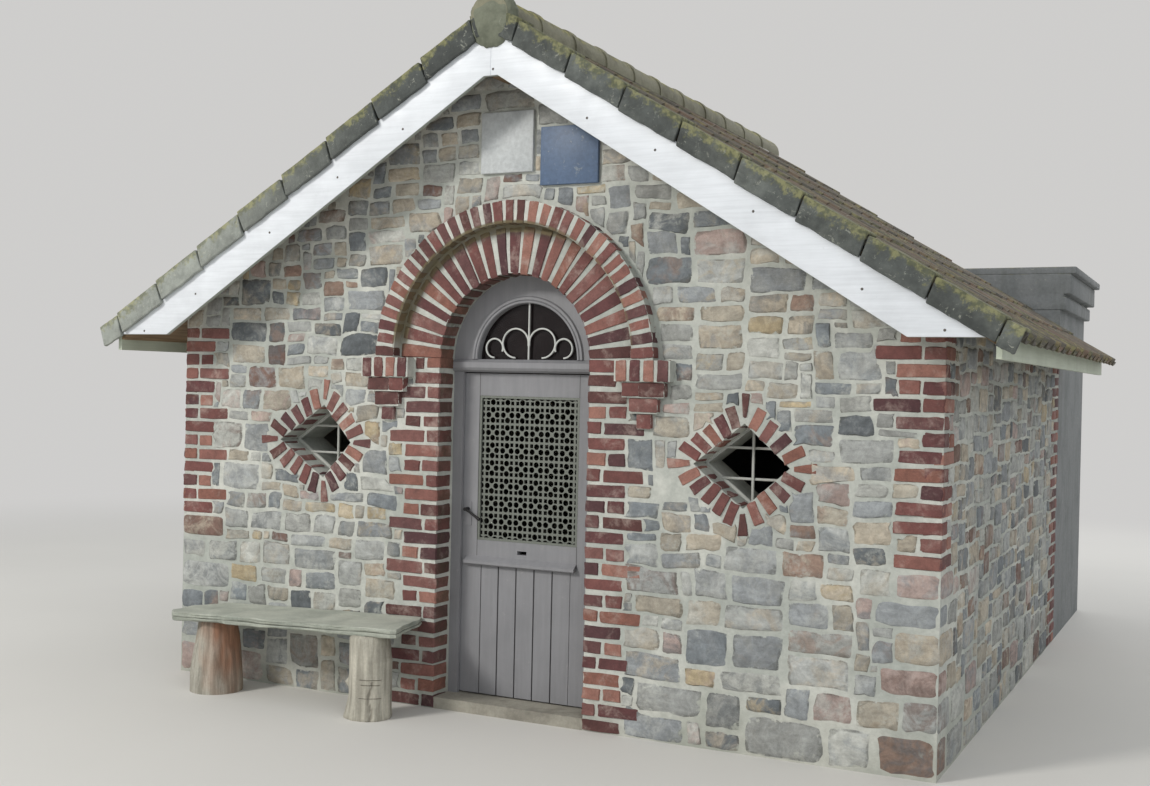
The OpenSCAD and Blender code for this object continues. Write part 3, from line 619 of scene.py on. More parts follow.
def carry(mesh: bpy.types.Mesh, name: str, values: object) -> None:
    """Lets a mesh carry one value for each vertex, for its material to read."""
    mesh.attributes.new(name, "FLOAT", "POINT").data.foreach_set("value", values)


def finished(piece: Piece, finish: Material, smooth: float = 0.6) -> Piece:
    """Turns a piece's faces outwards, dresses it and rides it on the building.

    Args:
        piece: The piece.
        finish: Its material.
        smooth: Angle under which edges are shaded smooth.

    Returns:
        The same piece, with its place in its mesh and its object at the origin.
    """
    with editing(piece):
        bpy.ops.mesh.normals_make_consistent(inside=False)
    bpy.ops.object.transform_apply(location=True, rotation=True, scale=True)
    bpy.ops.object.shade_smooth_by_angle(angle=smooth)
    piece.data.materials.clear()
    piece.data.materials.append(finish)
    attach(piece, "building")
    LOG.info("%s: %d faces", piece.name, len(piece.data.polygons))
    return piece


def grit(x: float, y: float, z: float) -> float:
    """Smooth noise at a place."""
    return noise.noise(Vector((x, y, z)))


def wear_at(points: Array, rng: random.Random, scale: float) -> Array:
    """Smooth noise in three directions at each point, other for each call."""
    seed = Vector((rng.uniform(-90, 90), rng.uniform(-90, 90), 0.0))
    return np.array([noise.noise_vector(Vector(spot) * scale + seed)[:] for spot in points])


@dataclass
class Shape:
    """A small mesh that is modelled once and then laid many times."""

    points: Array
    faces: list[tuple[int, ...]]

    @staticmethod
    def of(piece: Piece) -> "Shape":
        """Takes the mesh of a piece, and removes the piece."""
        spots = np.empty(len(piece.data.vertices) * 3)
        piece.data.vertices.foreach_get("co", spots)
        faces = [tuple(face.vertices) for face in piece.data.polygons]
        bpy.data.objects.remove(piece)
        return Shape(spots.reshape(-1, 3), faces)


def stone_shape() -> Shape:
    """Face of a stone: a grid with its lines near the rim, closed at the back."""
    clear_selection()
    bpy.ops.mesh.primitive_grid_add(x_subdivisions=6, y_subdivisions=6, size=2)
    piece = bpy.context.object
    for vertex in piece.data.vertices:
        for part in range(2):
            step = round(vertex.co[part] * 3)
            vertex.co[part] = math.copysign((0.0, 0.45, 0.87, 1.0)[abs(step)], step)
    with editing(piece):
        bpy.ops.mesh.region_to_loop()
        bpy.ops.mesh.edge_face_add()
    return Shape.of(piece)


def cut_cube(cuts: int) -> Piece:
    """Cube from -1 to 1, each face cut into a grid."""
    clear_selection()
    bpy.ops.mesh.primitive_cube_add(size=2)
    piece = bpy.context.object
    with editing(piece):
        bpy.ops.mesh.subdivide(number_cuts=cuts)
    return piece


def block_shape() -> Shape:
    """Corner stone from -1 to 1, cut into a grid and rounded on every edge."""
    shape = Shape.of(cut_cube(5))
    spread = np.sign(shape.points) * np.abs(shape.points) ** 0.7
    shape.points = spread / (np.abs(spread) ** 9).sum(1, keepdims=True) ** (1 / 9)
    return shape


def brick_shape() -> Shape:
    """Brick from -1 to 1, its arrises bevelled and its faces cut once."""
    piece = cut_cube(1)
    bevel(piece, 0.11, 1)
    return Shape.of(piece)


@dataclass
class Pile:
    """Copies of shapes gathered into one mesh, each with its own tone."""

    points: list[Array] = field(default_factory=list)
    faces: list[tuple[int, ...]] = field(default_factory=list)
    tints: list[Array] = field(default_factory=list)
    rims: list[Array] = field(default_factory=list)
    count: int = 0

    def lay(self, points: Array, faces: list[tuple[int, ...]], tint: float,
            rim: Array | None = None) -> None:
        """Adds one copy.

        Args:
            points: Its vertices in place.
            faces: Its faces.
            tint: Its tone from 0 to 1.
            rim: For each vertex, how near the edge it is, from 0 to 1.
        """
        self.points.append(points)
        self.faces.extend(tuple(corner + self.count for corner in face) for face in faces)
        self.tints.append(np.full(len(points), tint))
        self.rims.append(np.zeros(len(points)) if rim is None else rim)
        self.count += len(points)

    def piece(self, name: str, finish: Material, smooth: float = 0.7, slot: str = "") -> Piece:
        """Makes one piece of all the copies.

        Args:
            name: The piece's name.
            finish: Its material.
            smooth: Angle under which edges are shaded smooth.
            slot: Not used.

        Returns:
            The finished piece.
        """
        mesh = bpy.data.meshes.new(name)
        mesh.from_pydata(np.concatenate(self.points).tolist(), [], self.faces)
        carry(mesh, "tint", np.concatenate(self.tints))
        carry(mesh, "rim", np.concatenate(self.rims))
        piece = bpy.data.objects.new(name, mesh)
        bpy.context.scene.collection.objects.link(piece)
        return finished(piece, finish, smooth)


class Side(Enum):
    """The walls' outer faces: a point on the face, and its right-hand direction."""

    FRONT = ((0.0, FRONT_Y, 0.0), (1.0, 0.0, 0.0))
    REAR = ((0.0, REAR_Y, 0.0), (-1.0, 0.0, 0.0))
    LEFT = ((-HALF_W, 0.0, 0.0), (0.0, -1.0, 0.0))
    RIGHT = ((HALF_W, 0.0, 0.0), (0.0, 1.0, 0.0))

    @property
    def out(self) -> Array:
        """Direction out of the wall."""
        return np.cross(self.value[1], (0.0, 0.0, 1.0))

    def place(self, across: Array, height: Array, proud: Array) -> Array:
        """Points in the frame from their place on the wall's face."""
        start, right = np.array(self.value[0]), np.array(self.value[1])
        return (start + np.outer(across, right) + np.outer(height, (0, 0, 1))
                + np.outer(proud, self.out))


@dataclass
class Brick:
    """One brick on a wall's face: its middle, half sizes, turn and depth."""

    across: float
    height: float
    half_l: float
    half_h: float
    turn: float = 0.0
    depth: float = 0.05
    proud: float = 0.006
    taper: float = 0.0


@dataclass
class Bricklayer:
    """Lays bricks on one face of the walls."""

    side: Side
    shape: Shape
    rng: random.Random
    bricks: list[Brick] = field(default_factory=list)

    def row(self, start: float, way: float, height: float, lengths: list[float],
            joint: float = 0.013, tall: float = 0.0305, depth: float = 0.05,
            proud: float = 0.006) -> None:
        """Lays one course from a point, to the right or the left.

        Args:
            start: Where the first brick begins.
            way: 1 to lay towards the right, -1 towards the left.
            height: Middle of the course.
            lengths: Lengths of the bricks in turn.
            joint: Width of the joints.
            tall: Half height of the bricks.
            depth: Depth of the bricks into the wall.
            proud: How far they stand out of the wall's face.
        """
        spot = start
        for length in lengths:
            half = (length - joint) / 2 + self.rng.uniform(-0.003, 0.003)
            self.bricks.append(Brick(
                spot + way * length / 2, height + self.rng.uniform(-0.003, 0.003), half,
                tall + self.rng.uniform(-0.0025, 0.002), self.rng.uniform(-0.02, 0.02),
                depth, proud + self.rng.uniform(-0.003, 0.003)))
            spot += way * length

    def lay(self) -> Pile:
        """Piles up the bricks as worn, slightly uneven blocks."""
        base, pile = self.shape.points, Pile()
        for brick in self.bricks:
            wear = wear_at(base, self.rng, 1.3)
            length = base[:, 0] * brick.half_l
            height = base[:, 1] * brick.half_h * (1 + brick.taper * base[:, 0])
            out = (base[:, 2] - 1) * brick.depth / 2 + brick.proud
            length = length + wear[:, 0] * 0.006
            height = height + wear[:, 1] * 0.0045
            out = out + np.where(base[:, 2] > 0, wear[:, 2] * 0.0035, 0.0)
            spin, tilt = math.cos(brick.turn), math.sin(brick.turn)
            across = brick.across + length * spin - height * tilt
            up = brick.height + length * tilt + height * spin
            ends = {Side.LEFT: (0.2, -REAR_Y), Side.RIGHT: (-0.2, REAR_Y)}.get(
                self.side, (-HALF_W, HALF_W))
            corner = np.min([np.abs(across - end) for end in ends], 0) < 0.03
            corner |= (self.side is Side.FRONT) & (
                np.hypot(across, np.maximum(up - SPRING, 0.0)) < 0.475)
            rim = np.maximum(np.abs(base[:, 0]) * ~corner, np.abs(base[:, 1])) > 0.93
            pile.lay(self.side.place(across, up, out), self.shape.faces,
                     self.rng.random() * 0.999, rim.astype(float) * (base[:, 2] > 0.5))
        return pile


@dataclass
class Stone:
    """One stone's place on a wall's face: its sides, and its foot and head at each side."""

    left: float
    right: float
    foot: tuple[float, float]
    head: tuple[float, float]


@dataclass
class Mason:
    """Fills the free part of a wall's face with roughly coursed squared rubble."""

    side: Side
    shape: Shape
    rng: random.Random
    left: float
    right: float
    top: float
    low: float = 0.0
    step: float = 0.01
    scale: float = 1.16
    stones: list[Stone] = field(default_factory=list)

    def __post_init__(self) -> None:
        """Sets up the grid that says where the wall is taken."""
        self.cols = int(round((self.right - self.left) / self.step))
        self.rows = int(round((self.top - self.low) / self.step))
        mids_u = self.left + (np.arange(self.cols) + 0.5) * self.step
        mids_v = self.low + (np.arange(self.rows) + 0.5) * self.step
        self.u, self.v = np.meshgrid(mids_u, mids_v)
        self.busy = np.zeros((self.rows, self.cols), bool)

    def keep_off_bricks(self, bricks: list[Brick], edge: float = 0.004) -> None:
        """Takes the bricks' places, turned as they lie, out of the free face."""
        for brick in bricks:
            over, up = self.u - brick.across, self.v - brick.height
            spin, tilt = math.cos(brick.turn), math.sin(brick.turn)
            self.busy |= ((np.abs(over * spin + up * tilt) < brick.half_l + edge)
                          & (np.abs(up * spin - over * tilt) < brick.half_h + edge))

    @staticmethod
    def reach(mask: Array, turns: int = 14) -> Array:
        """Distance in steps from each place to the nearest one outside the mask."""
        far = np.where(mask, float(turns), 0.0)
        for _ in range(turns):
            wide = np.pad(far, 1, mode="edge")
            for over, up in product(range(3), repeat=2):
                near = wide[up:up + far.shape[0], over:over + far.shape[1]]
                far = np.minimum(far, near + (0.0, 1.0, 1.414)[abs(over - 1) + abs(up - 1)])
        return far

    def measure(self) -> None:
        """Works out how far each place is from what is taken, and which way leads off it."""
        self.room = (self.reach(~self.busy) - self.reach(self.busy)) * self.step
        self.way_v, self.way_u = np.gradient(self.room, self.step)

    def read(self, grid: Array, u: Array, v: Array) -> Array:
        """Value of a grid between its places."""
        x = np.clip((u - self.left) / self.step - 0.5, 0, self.cols - 1.001)
        y = np.clip((v - self.low) / self.step - 0.5, 0, self.rows - 1.001)
        i, j = x.astype(int), y.astype(int)
        x, y = x - i, y - j
        return ((grid[j, i] * (1 - x) + grid[j, i + 1] * x) * (1 - y)
                + (grid[j + 1, i] * (1 - x) + grid[j + 1, i + 1] * x) * y)

    def push(self, u: Array, v: Array, keep: float) -> tuple[Array, Array]:
        """Moves points off the bricks and edges until they are clear by a distance."""
        for _ in range(5):
            short = np.clip(keep - self.read(self.room, u, v), 0.0, 0.04)
            u = u + self.read(self.way_u, u, v) * short
            v = v + self.read(self.way_v, u, v) * short
        return u, v

    def stack(self) -> None:
        """Lays stones from the foot up, each on the lowest place that is free."""
        free = ~self.busy
        opens, shuts = np.full((2, self.rows + 1, self.cols), self.rows)
        for row in range(self.rows - 1, -1, -1):
            opens[row] = np.where(free[row], row, opens[row + 1])
            shuts[row] = np.where(free[row], shuts[row + 1], row)
        level = opens[0].copy()
        every = np.arange(self.cols)
        while level.min() < self.rows:
            low, start = int(level.min()), int(level.argmin())
            for give in (1, 3, 6):
                end, begin = start, start
                most = min(low + give, self.rows - 1)
                while end < self.cols and level[end] <= most:
                    end += 1
                while begin > 0 and level[begin - 1] <= most:
                    begin -= 1
                if end - begin >= 7:
                    break
            height = self.low + low * self.step
            grow = self.scale * (1.45 if height < 0.22 else 1.15 if height < 0.75 else 1.0)
            tall = round(self.rng.choices((5, 6, 7, 8, 9, 10, 11, 12, 14),
                                          (1, 4, 8, 10, 9, 7, 5, 2, 1))[0] * grow)
            wide = round(tall * self.rng.triangular(1.0, 3.0, 1.7))
            wide = max(5, min(wide, round(25 * grow)))
            run = end - begin
            if run - wide < 6:
                wide = run if run <= round(wide * 1.5) or run < 13 else run // 2
            first = begin if self.rng.random() < 0.6 else end - wide
            cols = every[first:first + wide]
            feet = level[cols]
            rooms = np.sort(shuts[feet, cols] - feet)
            sides = [level[spot] - int(np.median(feet)) for spot in (first - 1, first + wide)
                     if 0 <= spot < self.cols and level[spot] < self.rows]
            near = [gap for gap in sides if 4 <= gap and abs(gap - tall) <= 3]
            if near:
                tall = near[0]
            bare = int(rooms[len(rooms) // 2])
            if bare < tall + 5:
                tall = bare
            if wide < 4 or tall < 4:
                rise = min([gap for gap in sides if gap > 0] or [4])
                top = np.clip(np.maximum(level[cols] + 1, low + rise), 0, self.rows)
                level[cols] = opens[top, cols]
                continue
            third = max(1, wide // 3)
            foot = (float(np.mean(feet[:third])), float(np.mean(feet[-third:])))
            head = max(foot) + tall
            tip = [head + self.rng.choice((-1, 0, 0, 0, 1)) * 0.5 for _ in range(2)]
            self.stones.append(Stone(
                self.left + first * self.step, self.left + (first + wide) * self.step,
                *(tuple(self.low + end * self.step for end in ends) for ends in (foot, tip))))
            top = np.clip(np.maximum(level[cols] + 1, int(round(head))), 0, self.rows)
            level[cols] = opens[top, cols]

    def bare(self) -> Array:
        """Where the wall is neither taken nor under a stone."""
        bare = ~self.busy
        for stone in self.stones:
            share = (self.u - stone.left) / (stone.right - stone.left)
            foot = stone.foot[0] + (stone.foot[1] - stone.foot[0]) * share
            head = stone.head[0] + (stone.head[1] - stone.head[0]) * share
            bare &= ~((share > 0) & (share < 1) & (self.v > foot) & (self.v < head))
        return bare

    def swell(self, most: int) -> None:
        """Widens the stones into the bare strips beside them.

        Args:
            most: Steps by which each side may move.
        """
        bare = self.bare()
        for _ in range(most):
            for stone in self.rng.sample(self.stones, len(self.stones)):
                first, last = (round((side - self.left) / self.step)
                               for side in (stone.left, stone.right))
                low, high = (round((sum(ends) / 2 - self.low) / self.step)
                             for ends in (stone.foot, stone.head))
                for side, (v, u) in enumerate((
                        (slice(low, high), slice(first - 1, first)),
                        (slice(low, high), slice(last, last + 1)),
                        (slice(low - 1, low), slice(first, last)),
                        (slice(high, high + 1), slice(first, last)))):
                    strip = bare[v, u]
                    if min(v.start, u.start) < 0 or not strip.size or strip.mean() < 0.75:
                        continue
                    strip[...] = False
                    stone.left -= self.step * (side == 0)
                    stone.right += self.step * (side == 1)
                    stone.foot = tuple(end - self.step * (side == 2) for end in stone.foot)
                    stone.head = tuple(end + self.step * (side == 3) for end in stone.head)

    def pin(self) -> None:
        """Puts small flat stones in the places that the large ones leave."""
        bare = self.bare()
        for _ in range(4):
            far = self.reach(bare, 6)
            order = np.argsort(far, axis=None, kind="stable")[::-1][:4000]
            for spot in order:
                row, col = divmod(int(spot), self.cols)
                half = int(far[row, col] + 0.5)
                if half < 2:
                    break
                if not bare[max(0, row - 1):row + 2, max(0, col - 1):col + 2].all():
                    continue
                band = bare[max(0, row - half + 1):row + half, :].all(0)
                begin, end = col, col + 1
                while begin > 0 and band[begin - 1] and col - begin < 8:
                    begin -= 1
                while end < self.cols and band[end] and end - col < 9:
                    end += 1
                if end - begin < 3:
                    continue
                low = self.low + (row - half + 0.5) * self.step
                high = self.low + (row + half + 0.5) * self.step
                self.stones.append(Stone(self.left + begin * self.step - 0.004,
                                         self.left + end * self.step + 0.004,
                                         (low, low), (high, high)))
                bare[max(0, row - half):row + half + 1, max(0, begin - 1):end + 1] = False

    def trim(self, stone: Stone) -> bool:
        """Draws a stone's sides in until each stands mostly on free wall.

        Args:
            stone: The stone, which is changed.

        Returns:
            Whether enough of it is left.
        """
        share = np.linspace(0.08, 0.92, 9)
        for _ in range(24):
            foot, head = np.array(stone.foot), np.array(stone.head)
            u = stone.left + (stone.right - stone.left) * share
            low, high = np.interp(share, (0, 1), foot), np.interp(share, (0, 1), head)
            edge = 0.012
            full = [float((self.read(self.room, *spots) > 0.0).mean()) for spots in (
                (np.full(9, stone.left + edge), foot[0] + (head[0] - foot[0]) * share),
                (np.full(9, stone.right - edge), foot[1] + (head[1] - foot[1]) * share),
                (u, low + edge), (u, high - edge))]
            worst = full.index(min(full))
            if full[worst] > 0.5:
                break
            stone.left += self.step * (worst == 0)
            stone.right -= self.step * (worst == 1)
            stone.foot = tuple(foot + self.step * (worst == 2))
            stone.head = tuple(head - self.step * (worst == 3))
        return stone.right - stone.left > 0.035 and min(stone.head) - max(stone.foot) > 0.03

    def settled(self, stone: Stone) -> tuple[Array, ...] | None:
        """Fits a stone, with fewer bends where it is tight; None if it has no room."""
        tries = (self.fit(stone, bends) for bends in (1.0, 0.6, 0.3, 0.0))
        return next((placed for placed in tries if placed), None)

    def fit(self, stone: Stone, bends: float) -> tuple[Array, ...] | None:
        """Shapes a stone's face to its neighbours and to the bricks.

        Args:
            stone: The stone.
            bends: Share of its full unevenness that it gets.

        Returns:
            Where its points lie across, up and out, or None if it has no room.
        """
        s, t = self.shape.points[self.order, 0], self.shape.points[self.order, 1]
        rim = np.maximum(np.abs(s), np.abs(t))
        half_u = (stone.right - stone.left) / 2
        tall = (sum(stone.head) - sum(stone.foot)) / 2
        small = min(1.0, min(half_u * 2, tall) / 0.09)
        if half_u < 0.02 or tall < 0.032:
            return None
        grip = (0.0042 + self.rng.uniform(-0.002, 0.003)) * (0.6 + 0.4 * small)
        power = np.array([self.rng.uniform(4.0, 16.0) for _ in range(4)])
        bend = power[(s >= 0) + 2 * (t >= 0)]
        reach = np.maximum(rim, 0.001)
        shrink = 1 / ((np.abs(s) / reach) ** bend + (np.abs(t) / reach) ** bend + (
            rim < 0.001)) ** (1 / bend)
        cs, ct = s * shrink, t * shrink
        foot = np.interp(cs, (-1, 1), stone.foot) + grip
        head = np.interp(cs, (-1, 1), stone.head) - grip
        slant = self.rng.uniform(-0.007, 0.007) * small
        u = (stone.left + stone.right) / 2 + cs * (half_u - grip) + ct * slant
        v = foot + (head - foot) * (ct + 1) / 2
        rough = np.empty((len(u), 3))
        seed = Vector((self.rng.uniform(-90, 90), self.rng.uniform(-90, 90), 3.0))
        for slot, (a, b) in enumerate(zip(u, v)):
            spot = Vector((a, b, 7.0 + self.side.value[0][0] * 3))
            drift = noise.noise_vector(spot * 4.5) * 0.017
            joint = noise.noise_vector(spot * 19.0) * 0.006
            own = noise.noise_vector(spot * 26.0 + seed)
            rough[slot] = (drift + joint + own * 0.0075 * small)
            rough[slot, 2] = own.z
        u, v = self.push(u + rough[:, 0] * bends, v + rough[:, 1] * bends, 0.005)
        v = np.maximum(v, self.low + 0.002)
        u = np.clip(u, self.left + 0.001, self.right - 0.001)
        grid = np.stack((u, v), 1).reshape(7, 7, 2)
        side = (s.reshape(7, 7, 1) + 1) / 2
        rise = (t.reshape(7, 7, 1) + 1) / 2
        grid = ((1 - side) * grid[:, :1] + side * grid[:, -1:] + (1 - rise) * grid[:1]
                + rise * grid[-1:] - (1 - side) * ((1 - rise) * grid[0, 0] + rise * grid[-1, 0])
                - side * ((1 - rise) * grid[0, -1] + rise * grid[-1, -1]))
        mid = grid[1:-1, 1:-1].mean((0, 1))
        grid[1:-1, 1:-1] = mid + (grid[1:-1, 1:-1] - mid) * 0.92
        one, two = grid[1:, 1:] - grid[:-1, :-1], grid[1:, :-1] - grid[:-1, 1:]
        area = one[..., 0] * two[..., 1] - one[..., 1] * two[..., 0]
        if area.min() < -0.006 * area.sum() or area.sum() < 0.0015:
            return None
        crown = self.rng.uniform(0.004, 0.0105) * (0.5 + 0.5 * small)
        lean_u, lean_v = self.rng.uniform(-0.35, 0.35), self.rng.uniform(-0.3, 0.3)
        out = crown * (1 + lean_u * s + lean_v * t) * (1 - 0.25 * rim ** 2)
        out = out * np.where(rim > 0.6, 0.85, 1.0) + rough[:, 2] * 0.0045
        out = np.where(rim > 0.99, -0.004, out)
        placed = np.empty((3, len(s)))
        placed[:, self.order] = (grid[..., 0].ravel(), grid[..., 1].ravel(), out)
        return tuple(placed)

    def lay(self) -> Pile:
        """Piles up the stones, the small ones where the large ones leave room."""
        base, pile = self.shape.points, Pile()
        self.order = np.lexsort((base[:, 0], base[:, 1]))
        self.measure()
        self.stack()
        for turn in range(4):
            if turn:
                self.pin()
            self.stones = [stone for stone in self.stones if self.trim(stone)]
            self.swell(3)
            placed = [(stone, self.settled(stone)) for stone in self.stones]
            placed = [(stone, points) for stone, points in placed if points]
            self.stones = [stone for stone, _ in placed]
        rim = np.maximum(np.abs(base[:, 0]), np.abs(base[:, 1]))
        for _, points in placed:
            pile.lay(self.side.place(*points), self.shape.faces, self.rng.random() * 0.999, rim)
        return pile


@dataclass
class Brickwork:
    """All brick dressings: jambs, arch, hood, corbels, window rings and quoins."""

    door_r: float = 0.45
    ring: float = 0.252
    ring_count: int = 23
    hood_r: float = 0.7625
    hood_count: int = 35
    hood_out: float = 0.062
    window_x: float = 1.265
    window_z: tuple[float, float] = (1.405, 1.38)
    window_lean: tuple[float, float] = (0.06, 0.015)
    window_a: float = 0.245
    window_b: float = 0.205
    ring_w: float = 0.102
    quoin_from: int = 12
    seed: int = 11

    def __post_init__(self) -> None:
        """Prepares the shape of a brick and one layer of bricks for each wall."""
        self.rng = random.Random(self.seed)
        self.shape = brick_shape()
        self.layers = {side: Bricklayer(side, self.shape, self.rng) for side in Side}

    def jambs(self) -> None:
        """Toothed courses on both sides of the doorway, up to the spring of the arch."""
        front = self.layers[Side.FRONT]
        for course in range(24):
            height = 0.035 + course * COURSE
            for way in (-1, 1):
                kind = (course + (way < 0)) % 3
                lengths = {0: [0.228], 1: [0.09, 0.24], 2: [0.118, 0.112]}[kind]
                if height > SPRING - 0.12:
                    lengths = [0.17] if kind else [0.1, 0.07]
                front.row(way * 0.4365, way, height, lengths, depth=0.14)

    def arch(self) -> None:
        """Ring of upright bricks round the doorway's head."""
        front = self.layers[Side.FRONT]
        for slot in range(self.ring_count):
            angle = math.pi * (slot + 0.5) / self.ring_count
            mid = self.door_r - 0.0075 + self.ring / 2
            angle += self.rng.uniform(-0.008, 0.008)
            front.bricks.append(Brick(
                mid * math.cos(angle), SPRING + mid * math.sin(angle), self.ring / 2,
                0.0295 + self.rng.uniform(-0.003, 0.003), angle + self.rng.uniform(-0.012, 0.012),
                0.14, 0.006 + self.rng.uniform(-0.003, 0.003), 0.2))

    def hood(self) -> None:
        """Projecting ring over the arch, and the corbels that it stands on."""
        front = self.layers[Side.FRONT]
        for slot in range(self.hood_count):
            angle = math.pi * (slot + 0.5) / self.hood_count + self.rng.uniform(-0.006, 0.006)
            front.bricks.append(Brick(
                self.hood_r * math.cos(angle), SPRING + self.hood_r * math.sin(angle),
                0.0585 + self.rng.uniform(-0.003, 0.003), 0.0248 + self.rng.uniform(
                    -0.0035, 0.003), angle + self.rng.uniform(-0.03, 0.03), self.hood_out + 0.008,
                self.hood_out + 0.005 + self.rng.uniform(-0.003, 0.003), 0.06))
        for way in (-1, 1):
            for slot in range(4):
                front.bricks.append(Brick(
                    way * (self.hood_r - 0.1125 + slot * 0.075), SPRING - 0.0525, 0.0525,
                    0.0285, math.pi / 2 + self.rng.uniform(-0.03, 0.03), self.hood_out + 0.01,
                    self.hood_out + 0.006))
            for step, lengths in enumerate(([0.092, 0.132], [0.148], [0.072])):
                width = sum(lengths)
                out = self.hood_out * (3 - step) / 4
                front.row(way * (self.hood_r - width / 2), way,
                          SPRING - 0.105 - COURSE * (step + 0.5), lengths, joint=-0.004,
                          tall=0.0345, depth=out + 0.01, proud=out + 0.006)

    def tips(self, way: int) -> list[Vector]:
        """Corners of one diamond window in turn: side, top, side and foot."""
        slot = int(way > 0)
        mid = Vector((way * self.window_x, self.window_z[slot]))
        lean, a, b = self.window_lean[slot], self.window_a, self.window_b
        return [mid + Vector((a, 0.0)), mid + Vector((lean, b)),
                mid - Vector((a, 0.0)), mid + Vector((lean, -b))]

    def windows(self) -> None:
        """Fanned rings of bricks on end round the two diamond windows."""
        front = self.layers[Side.FRONT]
        for way in (-1, 1):
            tips = self.tips(way)
            edges = [tips[(slot + 1) % 4] - tips[slot] for slot in range(4)]
            normals = [Vector((edge.y, -edge.x)).normalized() for edge in edges]
            for slot, (start, edge, face) in enumerate(zip(tips, edges, normals)):
                before = (face + normals[slot - 1]).normalized()
                after = (face + normals[(slot + 1) % 4]).normalized()
                count = max(3, round((edge.length - 0.02) / 0.068))
                for brick in range(count):
                    share = (brick + 0.5) / count
                    out = (face * 1.4 + before * (1 - share) ** 2 * 1.3
                           + after * share ** 2 * 1.3).normalized()
                    half = 0.5 * self.ring_w / max(0.6, out.dot(face)) + 0.004
                    spot = start + edge * (0.05 + 0.9 * share) + out * (
                        half - 0.005 + 0.024 * abs(out.cross(face)))
                    front.bricks.append(Brick(
                        spot.x, spot.y, half, 0.0262,
                        math.atan2(out.y, out.x) + self.rng.uniform(-0.04, 0.04), 0.13,
                        0.006 + self.rng.uniform(-0.003, 0.004), 0.07))
                spot = start + before * (0.086 if slot == 1 else 0.076)
                front.bricks.append(Brick(
                    spot.x, spot.y, 0.055 + self.rng.uniform(-0.004, 0.005),
                    0.015 if slot == 1 else 0.02,
                    math.atan2(before.y, before.x) + self.rng.uniform(-0.06, 0.06),
                    0.06, 0.006, 0.35))

    def quoins(self) -> None:
        """Toothed bricks on the outer corners, from breast height up to the roof."""
        for way, face in ((-1, Side.LEFT), (1, Side.RIGHT)):
            for course in range(self.quoin_from, 26):
                height = 0.035 + course * COURSE
                kind = (course + (way > 0)) % 3
                front = {0: [0.235], 1: [0.11, 0.225], 2: [0.112, 0.11]}[kind]
                if way > 0 and course < 21:
                    front = {0: [0.235], 1: [0.225], 2: [0.112]}[kind]
                beside = {0: [0.112], 1: [0.225], 2: [0.112, 0.1]}[kind]
                self.layers[Side.FRONT].row(way * (HALF_W + 0.009), -way, height, front,
                                            depth=0.1)
                self.layers[face].row(way * -0.209, way, height, beside, depth=0.09)
            for course in range(26):
                height = 0.035 + course * COURSE
                beside = {0: [0.112, 0.235], 1: [0.235]}[course % 2]
                self.layers[face].row(way * (REAR_Y - 0.002), -way, height, beside, depth=0.09)

    def build(self) -> list[Piece]:
        """Lays every brick.

        Returns:
            The brick pieces.
        """
        self.jambs()
        self.arch()
        self.hood()
        self.windows()
        self.quoins()
        finish = BrickFinish().material()
        return [layer.lay().piece(f"bricks_{side.name.lower()}", finish, 0.6, "dark_brick")
                for side, layer in self.layers.items() if layer.bricks]


@dataclass
class CornerStones:
    """Large squared blocks that turn the two front corners under the brick quoins."""

    heights: tuple[float, ...] = (0.2, 0.165, 0.14, 0.17, 0.13, 0.14)
    seed: int = 8

    def blocks(self) -> list[tuple[int, float, float, float, float]]:
        """Side, foot, height and reach on both faces of every block."""
        rng = random.Random(self.seed)
        found = []
        for way in (-1, 1):
            foot = 0.0
            for slot, tall in enumerate(self.heights):
                long_, short = rng.uniform(0.27, 0.36), rng.uniform(0.15, 0.21)
                along, back = (long_, short) if (slot + (way > 0)) % 2 else (short, long_)
                found.append((way, foot, tall, along, back))
                foot += tall
        return found

    def build(self, finish: Material) -> Piece:
        """Lays the blocks.

        Args:
            finish: The stones' material.

        Returns:
            The blocks as one piece.
        """
        rng = random.Random(self.seed + 1)
        shape, pile = block_shape(), Pile()
        base = shape.points
        for way, foot, tall, along, back in self.blocks():
            proud = 0.007 + rng.uniform(-0.002, 0.004)
            half = np.array(((along + proud) / 2, (back + proud) / 2, tall / 2 - 0.009))
            mid = np.array((way * (HALF_W + proud - half[0]), FRONT_Y - proud + half[1],
                            foot + tall / 2))
            mid[2] = max(mid[2], half[2] + 0.003)
            wear = wear_at(base * half, rng, 14)
            points = mid + base * half * (1, 1, 1) + wear * (0.007, 0.007, 0.006)
            points[:, 2] = np.maximum(points[:, 2], 0.002)
            inner = np.maximum(-base[:, 0] * way, base[:, 1])
            rim = np.maximum(np.abs(base[:, 2]), inner)
            pile.lay(points, shape.faces, rng.random() * 0.999, np.clip(rim, 0, 1) ** 2)
        return pile.piece("corner_stones", finish, 0.8, slot="rubble_stone")


